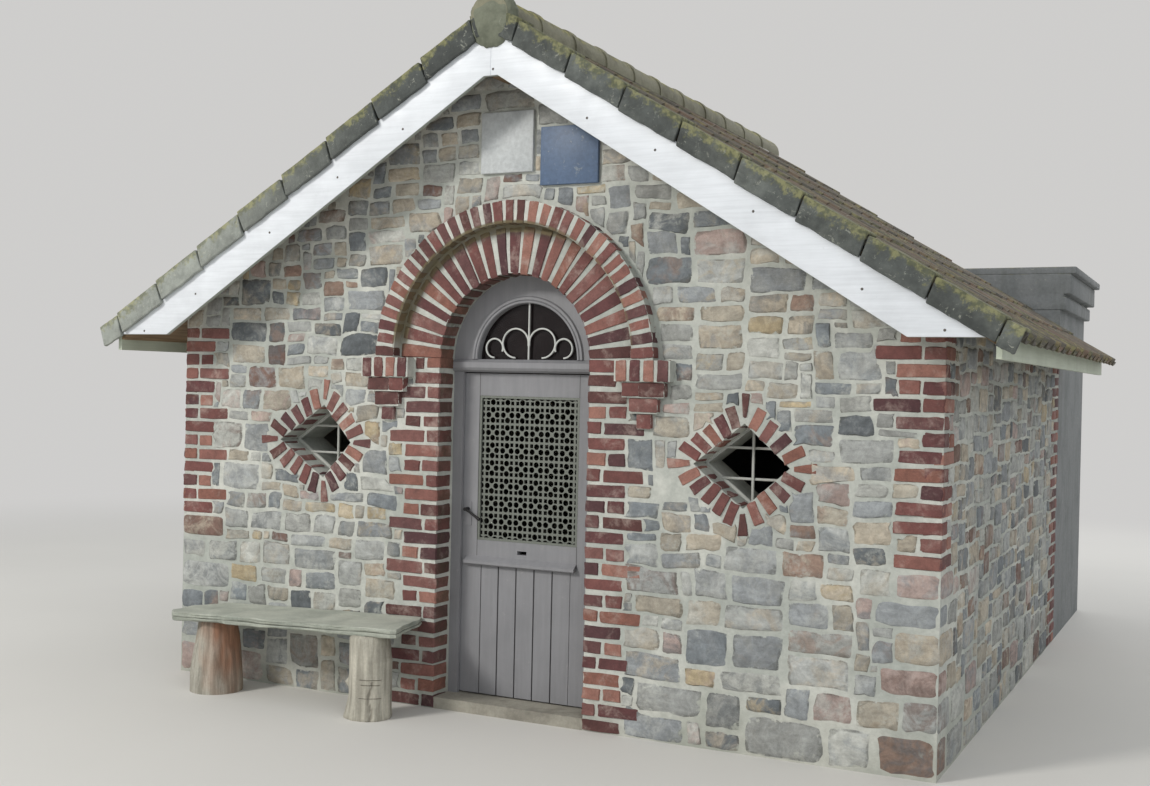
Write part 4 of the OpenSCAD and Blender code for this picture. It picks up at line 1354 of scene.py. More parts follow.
@dataclass
class Rubble:
    """Squared fieldstone on every outer face of the nave."""

    brickwork: Brickwork
    corners: CornerStones
    seed: int = 5

    def front(self, shape: Shape, rng: random.Random) -> Mason:
        """Stones of the front, round the doorway, the windows and the plaques."""
        mason = Mason(Side.FRONT, shape, rng, -HALF_W, HALF_W, 3.48)
        u, v = mason.u, mason.v
        work = self.brickwork
        mason.keep_off_bricks(work.layers[Side.FRONT].bricks)
        mason.busy |= (np.abs(u) < 0.475) & (v < SPRING)
        mason.busy |= (np.hypot(u, v - SPRING) < 0.83) & (v > SPRING - 0.1)
        for way in (-1, 1):
            tips = work.tips(way)
            mid = (tips[0] + tips[2]) / 2
            inside = np.ones(u.shape, bool)
            for slot in range(4):
                a = (tips[slot] - mid) * 1.5 + mid
                b = (tips[(slot + 1) % 4] - mid) * 1.5 + mid
                inside &= (b.x - a.x) * (v - a.y) - (b.y - a.y) * (u - a.x) > 0
            mason.busy |= inside
        mason.busy |= v > APEX - 0.035 - math.tan(PITCH) * np.abs(u)
        mason.busy |= (np.abs(u + 0.05) < 0.158) & (np.abs(v - 3.01) < 0.163)
        mason.busy |= (np.abs(u - 0.315) < 0.168) & (np.abs(v - 2.925) < 0.153)
        for way, foot, tall, along, _ in self.corners.blocks():
            mason.busy |= (u * way > HALF_W - along) & (np.abs(v - foot - tall / 2) < tall / 2)
        return mason

    def beside(self, shape: Shape, rng: random.Random, side: Side) -> Mason:
        """Stones of one side wall."""
        low, high = (-3.8, 0.2) if side is Side.LEFT else (-0.2, 3.8)
        mason = Mason(side, shape, rng, low, high, 2.12)
        mason.keep_off_bricks(self.brickwork.layers[side].bricks)
        turn = -1 if side is Side.LEFT else 1
        for way, foot, tall, _, back in self.corners.blocks():
            if way == turn:
                mason.busy |= ((mason.u * way < FRONT_Y + back)
                               & (np.abs(mason.v - foot - tall / 2) < tall / 2))
        return mason

    def rear(self, shape: Shape, rng: random.Random) -> Mason:
        """Stones of the rear gable above the flat roof."""
        mason = Mason(Side.REAR, shape, rng, -1.5, 1.5, 3.48, low=2.68)
        mason.busy |= mason.v > APEX - 0.04 - math.tan(PITCH) * np.abs(mason.u)
        return mason

    def build(self) -> list[Piece]:
        """Lays the stones of every face.

        Returns:
            The stone pieces.
        """
        rng = random.Random(self.seed)
        shape = stone_shape()
        finish = StoneFinish().material()
        masons = (self.front(shape, rng), self.beside(shape, rng, Side.LEFT),
                  self.beside(shape, rng, Side.RIGHT), self.rear(shape, rng))
        return [self.corners.build(finish)] + [
            mason.lay().piece(f"stones_{mason.side.name.lower()}", finish, 0.9, "rubble_stone")
            for mason in masons]


@dataclass
class TileRoof:
    """Pantiles laid one by one, lapped down each slope."""

    first: float = -0.4897
    last: float = REAR_Y
    columns: int = 20
    courses: int = 9
    length: float = 3.0255
    lap: float = 0.07
    thick: float = 0.013
    low: float = 0.0303
    rise: float = 0.032
    seed: int = 3

    def wave(self, share: float) -> float:
        """Height of the roll and the pan across a tile."""
        if share < 0.4:
            return math.sin(share / 0.4 * math.pi)
        return -0.28 * math.sin((share - 0.4) / 0.6 * math.pi)

    def tile(self) -> Shape:
        """One tile from a grid: X down the slope, Y across, with its thickness."""
        clear_selection()
        bpy.ops.mesh.primitive_grid_add(x_subdivisions=2, y_subdivisions=14, size=2)
        piece = bpy.context.object
        for vertex in piece.data.vertices:
            share = (vertex.co.y + 1) / 2 * 1.04
            vertex.co.z = self.rise * (0.28 + self.wave(share % 1.0)) + self.thick
        step = piece.modifiers.new("Clay", "SOLIDIFY")
        step.thickness = self.thick
        step.offset = -1
        apply_all(piece)
        return Shape.of(piece)

    def build(self) -> Piece:
        """Lays both slopes in place of their wavy sheets.

        Returns:
            The tiles as one piece.
        """
        rng = random.Random(self.seed)
        shape, pile = self.tile(), Pile()
        base = shape.points
        wide = (self.last - self.first) / self.columns
        bare = (self.length - 0.05) / self.courses
        for way in (-1, 1):
            for column in range(self.columns):
                for course in range(self.courses):
                    slip = rng.uniform(-0.006, 0.006)
                    top = 0.05 + course * bare - self.lap * (course > 0)
                    end = min(0.05 + (course + 1) * bare + slip, self.length)
                    down = top + (base[:, 0] + 1) / 2 * (end - top)
                    across = self.first + (column + (base[:, 1] + 1) / 2 * 1.04
                                           - 0.02 * (column == self.columns - 1)) * wide
                    across = np.clip(across + rng.uniform(-0.002, 0.002), self.first, self.last)
                    lift = (base[:, 0] + 1) / 2 * 0.013 + rng.uniform(-0.001, 0.002)
                    pile.lay(on_slope(way, down, across, self.low + base[:, 2] + lift),
                             shape.faces, rng.random() * 0.999)
        piece = pile.piece("pantiles", TileFinish("pantile").material(), 0.7, slot="pantile")
        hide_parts("roof_tiles_left", "roof_tiles_right")
        return piece


def on_slope(way: int, down: Array, y: Array, off: Array) -> Array:
    """Points on a slope of the roof: how far down it, along the ridge and off its face."""
    x = down * math.cos(PITCH) + off * math.sin(PITCH)
    z = APEX - down * math.sin(PITCH) + off * math.cos(PITCH)
    return np.column_stack((x * way, y, z))


def raised(name: str, outline: list[tuple[float, float]], levels: list[float]) -> Piece:
    """Pulls a flat outline up through a list of heights.

    Args:
        name: The piece's name.
        outline: Corners of the outline, seen from above and turning left.
        levels: Heights of its foot, of the rings between and of its head.

    Returns:
        The closed piece, with one ring of vertices at every height.
    """
    clear_selection()
    bpy.ops.mesh.primitive_circle_add(vertices=len(outline), fill_type="NGON")
    piece = bpy.context.object
    piece.name = piece.data.name = name
    for vertex, (x, y) in zip(piece.data.vertices, outline):
        vertex.co = (x, y, levels[0])
    with editing(piece):
        for low, high in zip(levels, levels[1:]):
            bpy.ops.mesh.extrude_region_move(
                TRANSFORM_OT_translate={"value": (0.0, 0.0, high - low)})
    return piece


@dataclass
class VergeTiles:
    """Angled slabs that close the tiles over the gable boards, each lapped on the next."""

    front: float = -0.518
    back: float = -0.348
    thick: float = 0.027
    low: float = -0.02
    high: float = 0.099
    length: float = 0.348
    first: tuple[float, float] = (0.083, 0.148)
    end: float = 3.0255
    step_up: float = 0.012
    seed: int = 21

    def slab(self) -> Shape:
        """One slab: its angled section pulled along X, with softened edges."""
        thin = 0.016
        section = [(self.front, self.low), (self.front + self.thick, self.low),
                   (self.front + self.thick, self.high - thin), (self.back, self.high - thin),
                   (self.back, self.high), (self.front, self.high)]
        piece = raised("slab", section, [0.0, 0.11, 0.22, 0.33, 0.44, 0.56, 0.67, 0.78, 0.89, 1.0])
        piece.scale.z = self.length
        bpy.ops.object.transform_apply(location=True, rotation=True, scale=True)
        bevel(piece, 0.007)
        return Shape.of(piece)

    def build(self) -> list[Piece]:
        """Lays the slabs of both slopes.

        Returns:
            The two pieces.
        """
        rng = random.Random(self.seed)
        shape = self.slab()
        base = shape.points
        pieces = []
        for way, name in zip((-1, 1), SIDES):
            pile = Pile()
            joints = [0.052]
            while joints[-1] < self.end:
                joints.append(min(self.first[way > 0] + (len(joints) - 1) * self.length,
                                  self.end))
            for start, end in zip(joints, joints[1:]):
                share = base[:, 2] / self.length
                wear = wear_at(base, rng, 16)
                off = base[:, 1] + share * self.step_up * 0.9 + wear[:, 1] * 0.003
                off = off + np.where(base[:, 1] < self.low + 0.02, wear[:, 2] * 0.006, 0.0)
                y = np.maximum(base[:, 0] + np.where(base[:, 0] < self.front + 0.008,
                                                     wear[:, 0] * 0.0025, 0.0), self.front - 0.004)
                lean = (off - 0.05) * rng.uniform(0.1, 0.28)
                down = (start + 0.005 + share * (end - start - 0.009)
                        - lean * (share != 0.5) + wear[:, 0] * 0.002)
                pile.lay(on_slope(way, down, y, off), shape.faces, rng.random() * 0.999,
                         np.clip((off - 0.06) / 0.04, 0, 1))
            piece = pile.piece(f"verge_slabs_{name}", VergeFinish(
                f"verge_slab_{name}", way).material(), 0.7, slot="verge_tile")
            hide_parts(f"verge_tiles_{name}")
            pieces.append(piece)
        return pieces


@dataclass(frozen=True)
class VergeFinish:
    """Slate grey slabs with pale lichen spots and a mossy upper edge."""

    name: str
    way: int

    def material(self) -> Material:
        """Makes the material."""
        board = NodeBoard(self.name)
        along = board.times(board.axis(0), float(self.way))
        dark, pale = srgb(78, 82, 80), srgb(138, 142, 136)
        if self.way > 0:
            base = board.mix(board.band(board.noise(3.0, 5.0), 0.45, 0.7), dark, srgb(98, 102, 98))
        else:
            base = board.mix(board.band(along, 0.5, 1.9), dark, pale)
        colour = board.shade(base, board.lot(311.0), 0.8, 1.2)
        colour = board.shade(colour, board.noise(12.0, 7.0, 0.7), 0.72, 1.25)
        spots = board.band(board.noise(30.0, 6.0, 0.8, warp=0.7), 0.58, 0.66)
        colour = board.stain(colour, spots, 0.6, srgb(170, 172, 160))
        border = board.plus(board.mark("rim"), board.ragged(16.0, 6.0, 0.75, 2.2))
        moss = board.band(border, 0.55, 0.9)
        green = board.mix(board.band(board.noise(34.0, 4.0), 0.4, 0.6), srgb(92, 94, 62),
                          srgb(150, 148, 100))
        colour = board.stain(colour, moss, 0.62, green)
        return board.done(colour, 0.9, (board.noise(20.0, 6.0, 0.7), 0.6, 0.008),
                          (board.noise(110.0, 5.0, 0.75), 0.6, 0.003))


@dataclass
class RidgeEnd:
    """Rounded bedding that closes the ridge over the apex of the gable boards."""

    mid: Triple = (0.006, -0.474, 3.565)
    reach: Triple = (0.128, 0.05, 0.125)

    def build(self) -> Piece:
        """Models the lump.

        Returns:
            The piece.
        """
        clear_selection()
        bpy.ops.mesh.primitive_ico_sphere_add(subdivisions=5, radius=1.0)
        piece = bpy.context.object
        piece.name = piece.data.name = "ridge_end"
        for vertex in piece.data.vertices:
            spot = vertex.co.copy()
            box = (abs(spot.x) ** 3.2 + abs(spot.y) ** 3.2 + abs(spot.z) ** 3.2) ** (1 / 3.2)
            spot /= box
            lump = 1 + 0.1 * noise.noise(spot * 1.7) + 0.05 * noise.noise(spot * 5.0)
            foot = 1.0 if spot.z > 0 else 1 - 0.28 * spot.z ** 2
            vertex.co = (self.mid[0] + spot.x * self.reach[0] * lump * foot,
                         self.mid[1] + spot.y * self.reach[1] * (1 + 0.1 * noise.noise(
                             spot * 2.2)), self.mid[2] + spot.z * self.reach[2] * lump)
        finish = SlabFinish("ridge_bedding", srgb(112, 116, 100), srgb(84, 88, 74), moss=0.9,
                            relief=0.7).material()
        return finished(piece, finish, 1.2)


@dataclass(frozen=True)
class BenchFinish:
    """Pale grey-green riven slab, with painted shade in its splits and painted light on its top.
    """

    name: str = "bench_slab_stone"

    def material(self) -> Material:
        """Makes the material."""
        board = NodeBoard(self.name)
        colour = board.mix(board.band(board.noise(4.0, 7.0, 0.65, warp=0.5), 0.4, 0.68),
                           srgb(172, 176, 164), srgb(140, 146, 136))
        beds = board.noise(1.0, 6.0, 0.65, at=board.stretch((5.0, 9.0, 120.0)), warp=0.3)
        colour = board.shade(colour, beds, 0.82, 1.1)
        colour = board.shade(colour, board.noise(60.0, 6.0, 0.75), 0.86, 1.1)
        # Painted light: upward faces paler, as if lit from above.
        up = board.band(board.facing(2), 0.3, 0.9)
        colour = board.stain(colour, up, 0.25, srgb(206, 208, 196))
        # Painted shade: the splits along the front edge darkened.
        colour = board.stain(colour, board.mark("rim"), 0.75, srgb(62, 62, 54))
        return board.done(colour, 0.85, (beds, 0.5, 0.006),
                          (board.noise(24.0, 6.0, 0.7), 0.5, 0.006),
                          (board.noise(110.0, 5.0, 0.7), 0.4, 0.002))


@dataclass(frozen=True)
class LogFinish:
    """Barkless log: grain up its length, a second tone in cuts or decayed parts."""

    name: str
    light: Tone
    dark: Tone
    core: Tone

    def material(self) -> Material:
        """Makes the material."""
        board = NodeBoard(self.name)
        lines = board.noise(1.0, 8.0, 0.65, at=board.stretch((34.0, 34.0, 2.6)), warp=0.3)
        colour = board.mix(board.band(lines, 0.36, 0.66), self.dark, self.light)
        colour = board.shade(colour, board.noise(5.0, 6.0, 0.6), 0.84, 1.1)
        colour = board.shade(colour, board.noise(70.0, 5.0, 0.7), 0.9, 1.08)
        core = board.shade(self.core, lines, 0.65, 1.25)
        colour = board.mix(board.mark("rim"), colour, core)
        ends = board.band(board.facing(2), 0.6, 0.9)
        colour = board.stain(colour, ends, 0.6, self.dark)
        return board.done(colour, 0.88, (lines, 0.7, 0.006),
                          (board.noise(60.0, 5.0, 0.7), 0.4, 0.002))


@dataclass
class Bench:
    """Riven stone slab on two sawn logs, built against the wall."""

    mid_x: float = -0.42
    lift: float = 0.44
    tilt: float = math.radians(1.8)
    thick: float = 0.05
    wall: float = -0.2003
    front: float = -0.6303

    def outline(self) -> list[tuple[float, float]]:
        """Edge of the slab seen from above, cut into short ragged steps."""
        back, front = self.wall, self.front
        bends = [(-1.400, back - 0.008), (-1.530, back - 0.190), (-1.542, front + 0.070),
                 (-1.470, front - 0.006), (-1.147, front + 0.012), (-0.612, front),
                 (-0.130, front), (-0.024, front + 0.004), (0.0, front + 0.022),
                 (-0.030, front + 0.150), (-0.066, back - 0.090), (-0.100, back - 0.010),
                 (-0.535, back), (-1.071, back - 0.004)]
        found = []
        for slot, start in enumerate(bends):
            end = bends[(slot + 1) % len(bends)]
            count = max(2, round(math.dist(start, end) / 0.022))
            for step in range(count):
                share = step / count
                x = start[0] + (end[0] - start[0]) * share
                y = start[1] + (end[1] - start[1]) * share
                own = noise.noise_vector(Vector((x * 9, y * 9, 4.0)))
                fine = noise.noise_vector(Vector((x * 40, y * 40, 9.0)))
                found.append((x + own.x * 0.007 + fine.x * 0.003,
                              min(y + own.y * 0.006 + fine.y * 0.003, back)))
        return found

    def slab(self) -> Piece:
        """Models the slab.

        Returns:
            The piece.
        """
        levels = [0.0, 0.004, 0.011, 0.018, 0.0215, 0.025, 0.033, 0.0355, 0.038, 0.046, 0.05]
        pull = {0.0: 0.014, 0.004: 0.007, 0.018: 0.001, 0.0215: 0.007, 0.025: 0.002,
                0.0355: 0.004, 0.046: 0.0015, 0.05: 0.004}
        outline = self.outline()
        piece = raised("bench_top", outline, levels)
        mid = Vector((-0.77, -0.41))
        rims = []
        for vertex in piece.data.vertices:
            x, y, z = vertex.co
            key = min(pull, key=lambda level: abs(level - z))
            inset = pull[key] if abs(key - z) < 0.001 else 0.0
            edge = (Vector((x, y)) - mid).normalized()
            worn = grit(x * 13, y * 13, z * 60)
            split = grit(x * 6, y * 6, round(z * 100))
            depth = inset * max(0.1, 0.9 + 1.9 * split) + 0.0055 * worn
            if z < 0.003:
                depth += 0.012 * max(0.0, grit(x * 17, y * 17, 2.0))
            # Marks the deep splits of the front edge, for their painted shade.
            rims.append(1.0 if 0.018 < z < 0.036 and inset > 0.005 else 0.0)
            x -= edge.x * depth * (0.6 if abs(edge.x) < 0.8 else 1.0)
            y = min(y - (math.copysign(depth, y - mid.y) if abs(y - mid.y) > 0.1 else 0.0),
                    self.wall)
            if 0.003 < z < 0.045:
                z += 0.0055 * grit(x * 3.1, y * 3.1, 8.0) * min(1.0, (0.05 - z) * 60, z * 60)
            if z > 0.045:
                z += 0.0035 * grit(x * 7, y * 9, 1.0) - 0.003
            turn_x = x * math.cos(self.tilt) + z * math.sin(-self.tilt)
            up = x * math.sin(self.tilt) + z * math.cos(self.tilt)
            vertex.co = (turn_x + self.mid_x, y, up + self.lift)
        carry(piece.data, "rim", rims)
        finished(piece, BenchFinish().material(), 0.5)
        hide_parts("bench_slab")
        return piece

    def log(self, name: str, node: str, place: tuple[float, float], radius: float,
            height: float, right: bool, look: LogFinish) -> Piece:
        """Models one log.

        Args:
            name: The piece's name.
            node: The solid that it replaces.
            place: Its middle on the ground.
            radius: Its radius half way up.
            height: Its height under the slab.
            right: Whether it is the sawn right-hand log, or the decayed left stump.
            look: Its finish.

        Returns:
            The piece.
        """
        circle = [(math.cos(turn), math.sin(turn))
                  for turn in (math.tau * slot / 72 for slot in range(72))]
        cuts = (0.118, 0.186, 0.212) if right else ()
        levels = sorted({0.0, 0.006, height - 0.006, height,
                         *(round(0.02 * slot, 3) for slot in range(1, 60)
                           if 0.02 * slot < height - 0.012),
                         *(cut + shift for cut in cuts for shift in (-0.003, 0.0, 0.003))})
        piece = raised(name, circle, levels)
        marks = []
        face = math.atan2(-5.8, 4.05)
        for vertex in piece.data.vertices:
            angle = math.atan2(vertex.co.y, vertex.co.x)
            z = vertex.co.z
            share = z / height
            way = Vector((math.cos(angle), math.sin(angle), 0.0))
            grain = grit(way.x * 3.2, way.y * 3.2, z * 1.6 + (5 if right else 0))
            fine = grit(way.x * 11, way.y * 11, z * 2.2)
            reach = radius * (1 + 0.05 * grain + 0.018 * fine)
            mark = 0.0
            if right:
                reach *= 1 + 0.05 * max(0.0, 1 - share * 5) ** 2
                left = max(0.0, -way.x * 0.894 - way.y * 0.448)
                reach += 0.024 * left ** 4 * max(0.0, 1 - share * 3.5)
                reach += 0.02 * math.exp(-((z - 0.185) / 0.018) ** 2
                                         - ((1 - left) / 0.025) ** 2)
                knot = max(0.0, way.x * 0.894 + way.y * 0.448) ** 3
                if share > 0.72:
                    rough = grit(way.x * 6, way.y * 6, z * 26)
                    reach -= knot * radius * (0.16 * (share - 0.72) / 0.28 + 0.1 * abs(rough))
                    mark = 0.4 * knot
                turn = (angle - face - 0.07 * math.sin(z * 40)) % math.tau
                turn = min(turn, math.tau - turn)
                if z < 0.2 and turn < 0.05:
                    reach -= 0.004
                    mark = 0.55
                ahead = way.x * math.cos(face) + way.y * math.sin(face)
                for cut, wide in zip(cuts, (0.86, 0.9, 0.82)):
                    if abs(z - cut) < 0.0005 and ahead > wide:
                        reach -= 0.004
                        mark = 0.9
            else:
                reach *= 1.13 - 0.34 * share + 0.05 * max(0.0, 1 - share * 4)
                reach *= 1 + 0.09 * grit(way.x * 1.8, way.y * 1.8, z * 4)
                mark = max(0.0, min(1.0, 0.12 + way.x * 0.7 + (share - 0.5) * 0.9
                                    + 0.5 * grit(way.x * 3, way.y * 3, z * 9)))
            edge = min(z, height - z)
            if edge < 0.006:
                reach -= 0.004
            reach = min(reach, radius * 1.04 + (0.024 if right else 0.008))
            vertex.co = (place[0] + way.x * reach, place[1] + way.y * reach, z)
            marks.append(mark)
        carry(piece.data, "rim", marks)
        finished(piece, look.material(), 0.7)
        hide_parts(node)
        return piece

    def build(self) -> list[Piece]:
        """Models the slab and both logs.

        Returns:
            The three pieces.
        """
        pale = LogFinish("pale_log", srgb(190, 186, 172), srgb(152, 148, 136), srgb(92, 84, 72))
        red = LogFinish("decayed_stump", srgb(180, 176, 164), srgb(140, 136, 124),
                        srgb(150, 112, 90))
        return [self.slab(),
                self.log("bench_log", "bench_post_right", (-0.62, -0.5354), 0.108, 0.4366, True,
                         pale),
                self.log("bench_stump", "bench_post_left", (-1.71, -0.4666), 0.132, 0.4026,
                         False, red)]


@dataclass
class Nails:
    """Round heads of the nails that hold the gable boards."""

    face: float = -0.49
    places: tuple[tuple[float, float], ...] = (
        (0.014, 3.326), (0.545, 3.044), (0.907, 2.868), (1.909, 2.2), (1.40, 2.56),
        (2.27, 2.02), (-0.52, 3.06), (-0.93, 2.83), (-1.38, 2.55), (-1.90, 2.22), (-2.28, 2.01))

    def build(self) -> Piece:
        """Models one head and lays it at each place.

        Returns:
            The heads as one piece.
        """
        clear_selection()
        bpy.ops.mesh.primitive_uv_sphere_add(segments=14, ring_count=8, radius=0.0065)
        piece = bpy.context.object
        with editing(piece):
            bpy.ops.mesh.bisect(plane_co=(0, 0, 0), plane_no=(0, 1, 0), clear_outer=True,
                                use_fill=True)
        shape = Shape.of(piece)
        pile = Pile()
        for x, z in self.places:
            pile.lay(shape.points * (1, 0.55, 1) + (x, self.face + 0.0005, z), shape.faces, 0.5)
        finish = MetalFinish("nail_iron", srgb(96, 92, 88), srgb(120, 92, 70), 0.4, 0.6)
        return pile.piece("board_nails", finish.material(), 0.9)


@dataclass
class WindowBars:
    """Thin frames and bars set behind the two diamond openings."""

    brickwork: Brickwork
    deep: float = 0.14
    bar: float = 0.0065
    edge: float = 0.012

    def rod(self, pile: Pile, shape: Shape, start: Vector, end: Vector, half: float,
            y: float) -> None:
        """Lays one straight bar between two points of the opening.

        Args:
            pile: Where the bar goes.
            shape: A bar from -1 to 1 along X.
            start: One end, across and up.
            end: The other end.
            half: Half its thickness.
            y: How deep it lies.
        """
        along = end - start
        way = along.normalized()
        mid = (start + end) / 2
        base = shape.points
        length = base[:, 0] * (along.length / 2)
        x = mid.x + way.x * length - way.y * base[:, 2] * half
        z = mid.y + way.y * length + way.x * base[:, 2] * half
        pile.lay(np.column_stack((x, y + base[:, 1] * half, z)), shape.faces, 0.5)

    def build(self) -> Piece:
        """Models the frames and bars.

        Returns:
            The bars as one piece.
        """
        clear_selection()
        bpy.ops.mesh.primitive_cube_add(size=2)
        piece = bpy.context.object
        bevel(piece, 0.5)
        shape = Shape.of(piece)
        shape.points[:, 0] = np.sign(shape.points[:, 0])
        pile = Pile()
        y = FRONT_Y + self.deep
        for way in (-1, 1):
            tips = self.brickwork.tips(way)
            mid = (tips[0] + tips[2]) / 2
            for slot in range(4):
                self.rod(pile, shape, tips[slot] * 0.985 + mid * 0.015,
                         tips[(slot + 1) % 4] * 0.985 + mid * 0.015, self.edge, y + 0.02)
            foot, head = tips[3], tips[1]
            self.rod(pile, shape, foot, head, self.bar, y)
            for up in (0.082, -0.07):
                share = abs(up) / self.brickwork.window_b
                tip = head if up > 0 else foot
                left, right = (tips[2] * (1 - share) + tip * share,
                               tips[0] * (1 - share) + tip * share)
                self.rod(pile, shape, left, right, self.bar, y + self.bar * 1.6)
        finish = MetalFinish("window_iron", srgb(176, 178, 172), srgb(128, 118, 104), 0.0, 0.55)
        return pile.piece("window_bars", finish.material(), 0.8)


@dataclass
class Softened:
    """Copies of straight solids with worn edges, in place of the sharp ones."""

    nodes: dict[str, Piece]

    def build(self, width: float, slot: str, *names: str) -> None:
        """Bevels a merged copy of each solid and lets it stand for the solid.

        Args:
            width: Width of the worn edge.
            slot: Not used.
            *names: The solids.
        """
        for name in names:
            source = self.nodes[name]
            piece = bpy.data.objects.new(f"{name}_worn", source.data.copy())
            bpy.context.scene.collection.objects.link(piece)
            with editing(piece):
                bpy.ops.mesh.remove_doubles(threshold=0.0001)
                bpy.ops.mesh.dissolve_limited(angle_limit=0.02)
            bevel(piece, width)
            finished(piece, source.data.materials[0])
            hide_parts(name)


@dataclass
class Studio:
    """Pale floor, soft lamps and the camera at the photograph's viewing angle."""

    place: Triple = (3.435, -6.325, 1.754)
    yaw: float = 0.4643
    pitch: float = -0.0063
    roll: float = 0.0217
    lens: float = 42.1
    aim: Triple = (0.0, 1.2, 1.6)
    backdrop: float = 0.62
    pale: Tone = (1.0, 0.99, 0.975, 1.0)

    def camera(self) -> None:
        """Adds the camera and makes it the scene's own."""
        data = bpy.data.cameras.new("camera")
        data.lens = self.lens
        data.sensor_width = 36.0
        data.clip_end = 300
        camera = bpy.data.objects.new("camera", data)
        camera.matrix_world = (
            Matrix.Translation(self.place) @ Matrix.Rotation(self.yaw, 4, "Z")
            @ Matrix.Rotation(math.pi / 2 + self.pitch, 4, "X")
            @ Matrix.Rotation(self.roll, 4, "Z"))
        bpy.context.scene.collection.objects.link(camera)
        bpy.context.scene.camera = camera

    def lamp(self, name: str, place: Triple, size: float, power: float, tone: Triple) -> None:
        """Adds a square soft lamp that looks at the middle of the building.

        Args:
            name: The lamp's name.
            place: Where it hangs.
            size: Length of its sides.
            power: Its power in watts.
            tone: Its colour.
        """
        data = bpy.data.lights.new(name, "AREA")
        data.size = size
        data.energy = power
        data.color = tone
        lamp = bpy.data.objects.new(name, data)
        lamp.location = place
        way = Vector(self.aim) - Vector(place)
        lamp.rotation_euler = way.to_track_quat("-Z", "Y").to_euler()
        bpy.context.scene.collection.objects.link(lamp)

    def floor(self) -> None:
        """Adds the pale floor under the building, lost in the backdrop far out."""
        clear_selection()
        bpy.ops.mesh.primitive_plane_add(size=160, location=(0, 0, 0))
        floor = bpy.context.object
        floor.name = "floor"
        board = NodeBoard("pale_floor")
        colour = board.shade(srgb(214, 212, 207), board.noise(0.6, 3.0), 0.985, 1.01)
        floor.data.materials.append(board.done(colour, 0.95))
        far = board.far(board.axis(0), board.math("SUBTRACT", board.axis(1), 2.2))
        seen = board.times(board.add("ShaderNodeLightPath").outputs["Is Camera Ray"],
                           board.band(far, 6.5, 13.0))
        glow = board.add("ShaderNodeEmission", Color=self.pale, Strength=self.backdrop)
        board.show(seen, board.shader.outputs[0], glow.outputs[0], "Material Output")

    def sky(self) -> None:
        """Adds an even soft light, seen as a plain pale backdrop."""
        world = bpy.data.worlds.new("world")
        bpy.context.scene.world = world
        world.use_nodes = True
        board = NodeTree(world.node_tree)
        soft = world.node_tree.nodes["Background"]
        board.feed(soft.inputs["Color"], (0.95, 0.975, 1.0, 1.0))
        board.feed(soft.inputs["Strength"], 0.61)
        plain = board.add("ShaderNodeBackground", Color=self.pale, Strength=self.backdrop)
        rays = board.add("ShaderNodeLightPath").outputs
        seen = rays["Is Camera Ray"]
        for kind in ("Is Glossy Ray", "Is Transmission Ray"):
            seen = board.math("MAXIMUM", seen, rays[kind])
        board.show(seen, soft.outputs[0], plain.outputs[0], "World Output")

    def build(self) -> None:
        """Sets up the whole studio."""
        self.camera()
        self.floor()
        self.lamp("key", (-6.5, -11.5, 9.0), 2.6, 1190, (1.0, 0.975, 0.93))
        self.lamp("fill", (10.0, -9.0, 6.0), 7.0, 245, (0.95, 0.975, 1.0))
        self.lamp("back", (3.0, 13.0, 8.0), 8.0, 500, (1.0, 1.0, 1.0))
        self.sky()
        bpy.context.scene.view_settings.view_transform = "Standard"


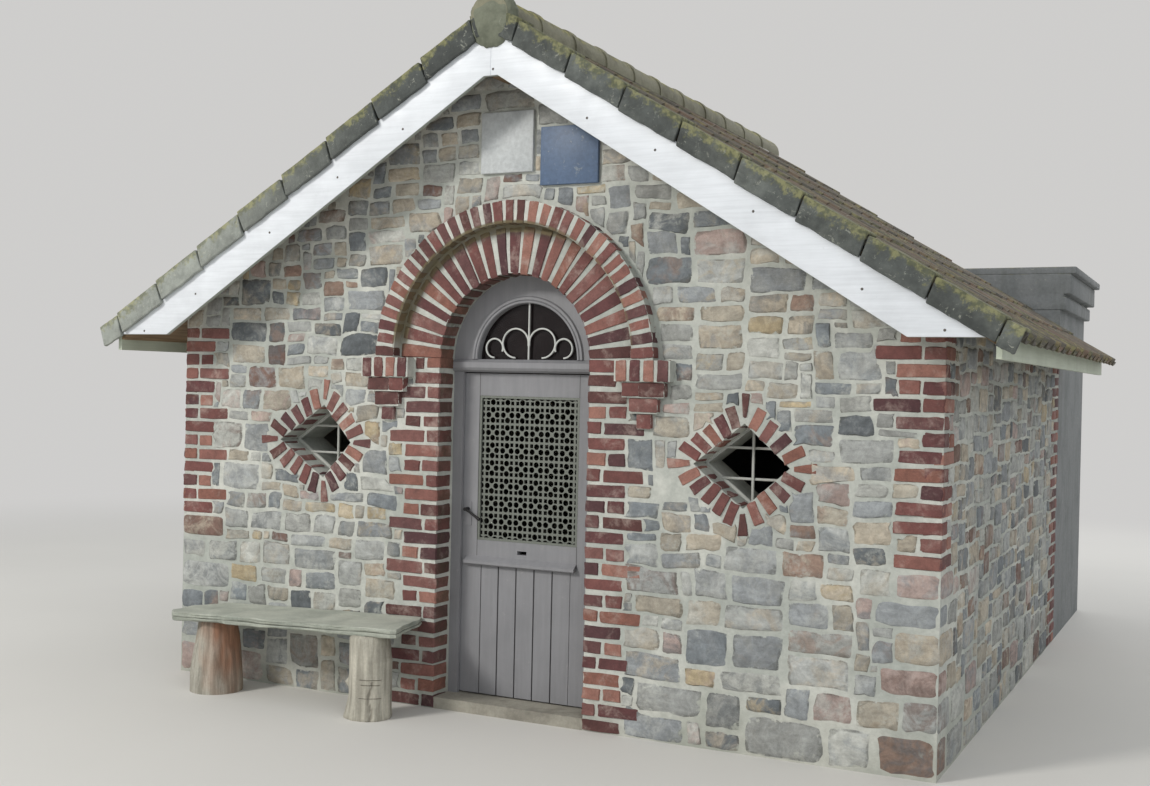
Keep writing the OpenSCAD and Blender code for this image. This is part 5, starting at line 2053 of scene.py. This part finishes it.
@dataclass
class SolidFinishes:
    """Materials of the solids that stay in view as they are."""

    nodes: dict[str, Piece]

    def dress(self, look: object, *names: str, pairs: tuple[str, ...] = ()) -> None:
        """Gives one material to some solids.

        Args:
            look: The finish.
            *names: The solids.
            pairs: Names of solids that come in a left and a right one.
        """
        finish = look.material()
        for name in (*names, *(f"{pair}_{side}" for pair in pairs for side in SIDES)):
            data = self.nodes[name].data
            data.materials.clear()
            data.materials.append(finish)

    def walls(self) -> None:
        """Dresses the walls, the floor and the rear block."""
        self.dress(MortarFinish(), "front_gable", "rear_gable", "door_arch", "hood_arch",
                   pairs=("front_wall", "side_wall", "rear_wall", "door_jamb", "hood_corbel",
                          "window_surround"))
        self.dress(SlabFinish("block_render", srgb(124, 127, 128), srgb(108, 112, 113),
                              moss=0.5, streaks=0.32),
                   "chancel_wall_left", "chancel_wall_right", "chancel_wall_rear",
                   "chancel_cornice", "chancel_roof")
        self.dress(SlabFinish("floor_stone", srgb(158, 154, 142), srgb(124, 120, 110)),
                   "floor_slab")

    def roof(self) -> None:
        """Dresses the roof's timber, ridge and boards."""
        self.dress(WoodFinish("roof_timber", srgb(150, 126, 96), srgb(108, 88, 64)),
                   "roof_deck_left", "roof_deck_right", "ridge_beam")
        self.dress(SlabFinish("ridge_tile", srgb(128, 126, 106), srgb(96, 94, 76),
                              moss=1.0), "ridge_tiles")
        white, worn = srgb(222, 226, 231), srgb(170, 176, 176)
        for way, side in zip((-1, 1), SIDES):
            self.dress(PaintFinish(f"white_board_{side}", white, worn, 0.16, 0.4,
                                   (3.0, 40.0, 60.0), way * PITCH, dirt_and_shade=0.7),
                       f"bargeboard_{side}")
        self.dress(PaintFinish("eave_board", srgb(190, 198, 180), srgb(146, 152, 134), 0.3,
                               0.5, (40.0, 3.0, 60.0)), "fascia_left", "fascia_right")

    def trims(self) -> None:
        """Dresses the plaques, the door and its metal parts."""
        self.dress(SlabFinish("pale_plaque", srgb(190, 194, 195), srgb(166, 171, 173),
                              rough=0.6, relief=0.1), "plaque_pale")
        self.dress(SlabFinish("blue_plaque", srgb(85, 105, 133), srgb(68, 84, 108),
                              rough=0.5, relief=0.12), "plaque_blue")
        worn = srgb(160, 157, 157)
        grey = srgb(135, 135, 138)
        self.dress(PaintFinish("door_paint", grey, worn, 0.3, 0.42),
                   "door_frame", "fanlight_frame", "weather_bar", "lock_plates")
        self.dress(PaintFinish("leaf_paint", grey, worn, 0.3, 0.42,
                               seams=(-0.2985, 0.3065)), "door_leaf")
        self.dress(PaintFinish("door_board_paint", grey, worn, 0.35, 0.46,
                               joints=0.1092), "door_boards")
        self.dress(GlassFinish(), "fanlight_glass")
        self.dress(MetalFinish("scroll_metal", srgb(196, 198, 194), srgb(140, 134, 124), 0.0,
                               0.45), "fanlight_scroll")
        self.dress(MetalFinish("grille_metal", srgb(116, 120, 113), srgb(84, 81, 74), 0.35,
                               0.5), "door_grille")
        self.dress(MetalFinish("black_iron", srgb(38, 37, 38), srgb(64, 56, 50), 0.5,
                               0.45), "door_lever")
        self.dress(MetalFinish("hinge_iron", srgb(60, 56, 54), srgb(96, 70, 52), 0.6,
                               0.55), "hinge_pintles", "hinge_bands")

    def build(self) -> None:
        """Dresses every solid."""
        self.walls()
        self.roof()
        self.trims()


def main() -> None:
    """Builds the chapel's looks in order, from the walls to the studio."""
    logging.basicConfig(level=logging.INFO, format="%(name)s: %(message)s")
    noise.seed_set(NOISE_SEED)
    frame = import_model()
    nodes = frame["nodes"]
    SolidFinishes(nodes).build()
    bricks = Brickwork()
    bricks.build()
    Rubble(bricks, CornerStones()).build()
    WindowBars(bricks).build()
    TileRoof().build()
    VergeTiles().build()
    RidgeEnd().build()
    softened = Softened(nodes)
    softened.build(0.003, "white_board", "bargeboard_left", "bargeboard_right")
    softened.build(0.004, "pale_plaque", "plaque_pale")
    softened.build(0.003, "blue_plaque", "plaque_blue")
    softened.build(0.009, "block_render", "chancel_cornice", "chancel_roof")
    Nails().build()
    Bench().build()
    Studio().build()


if __name__ == "__main__":
    main()
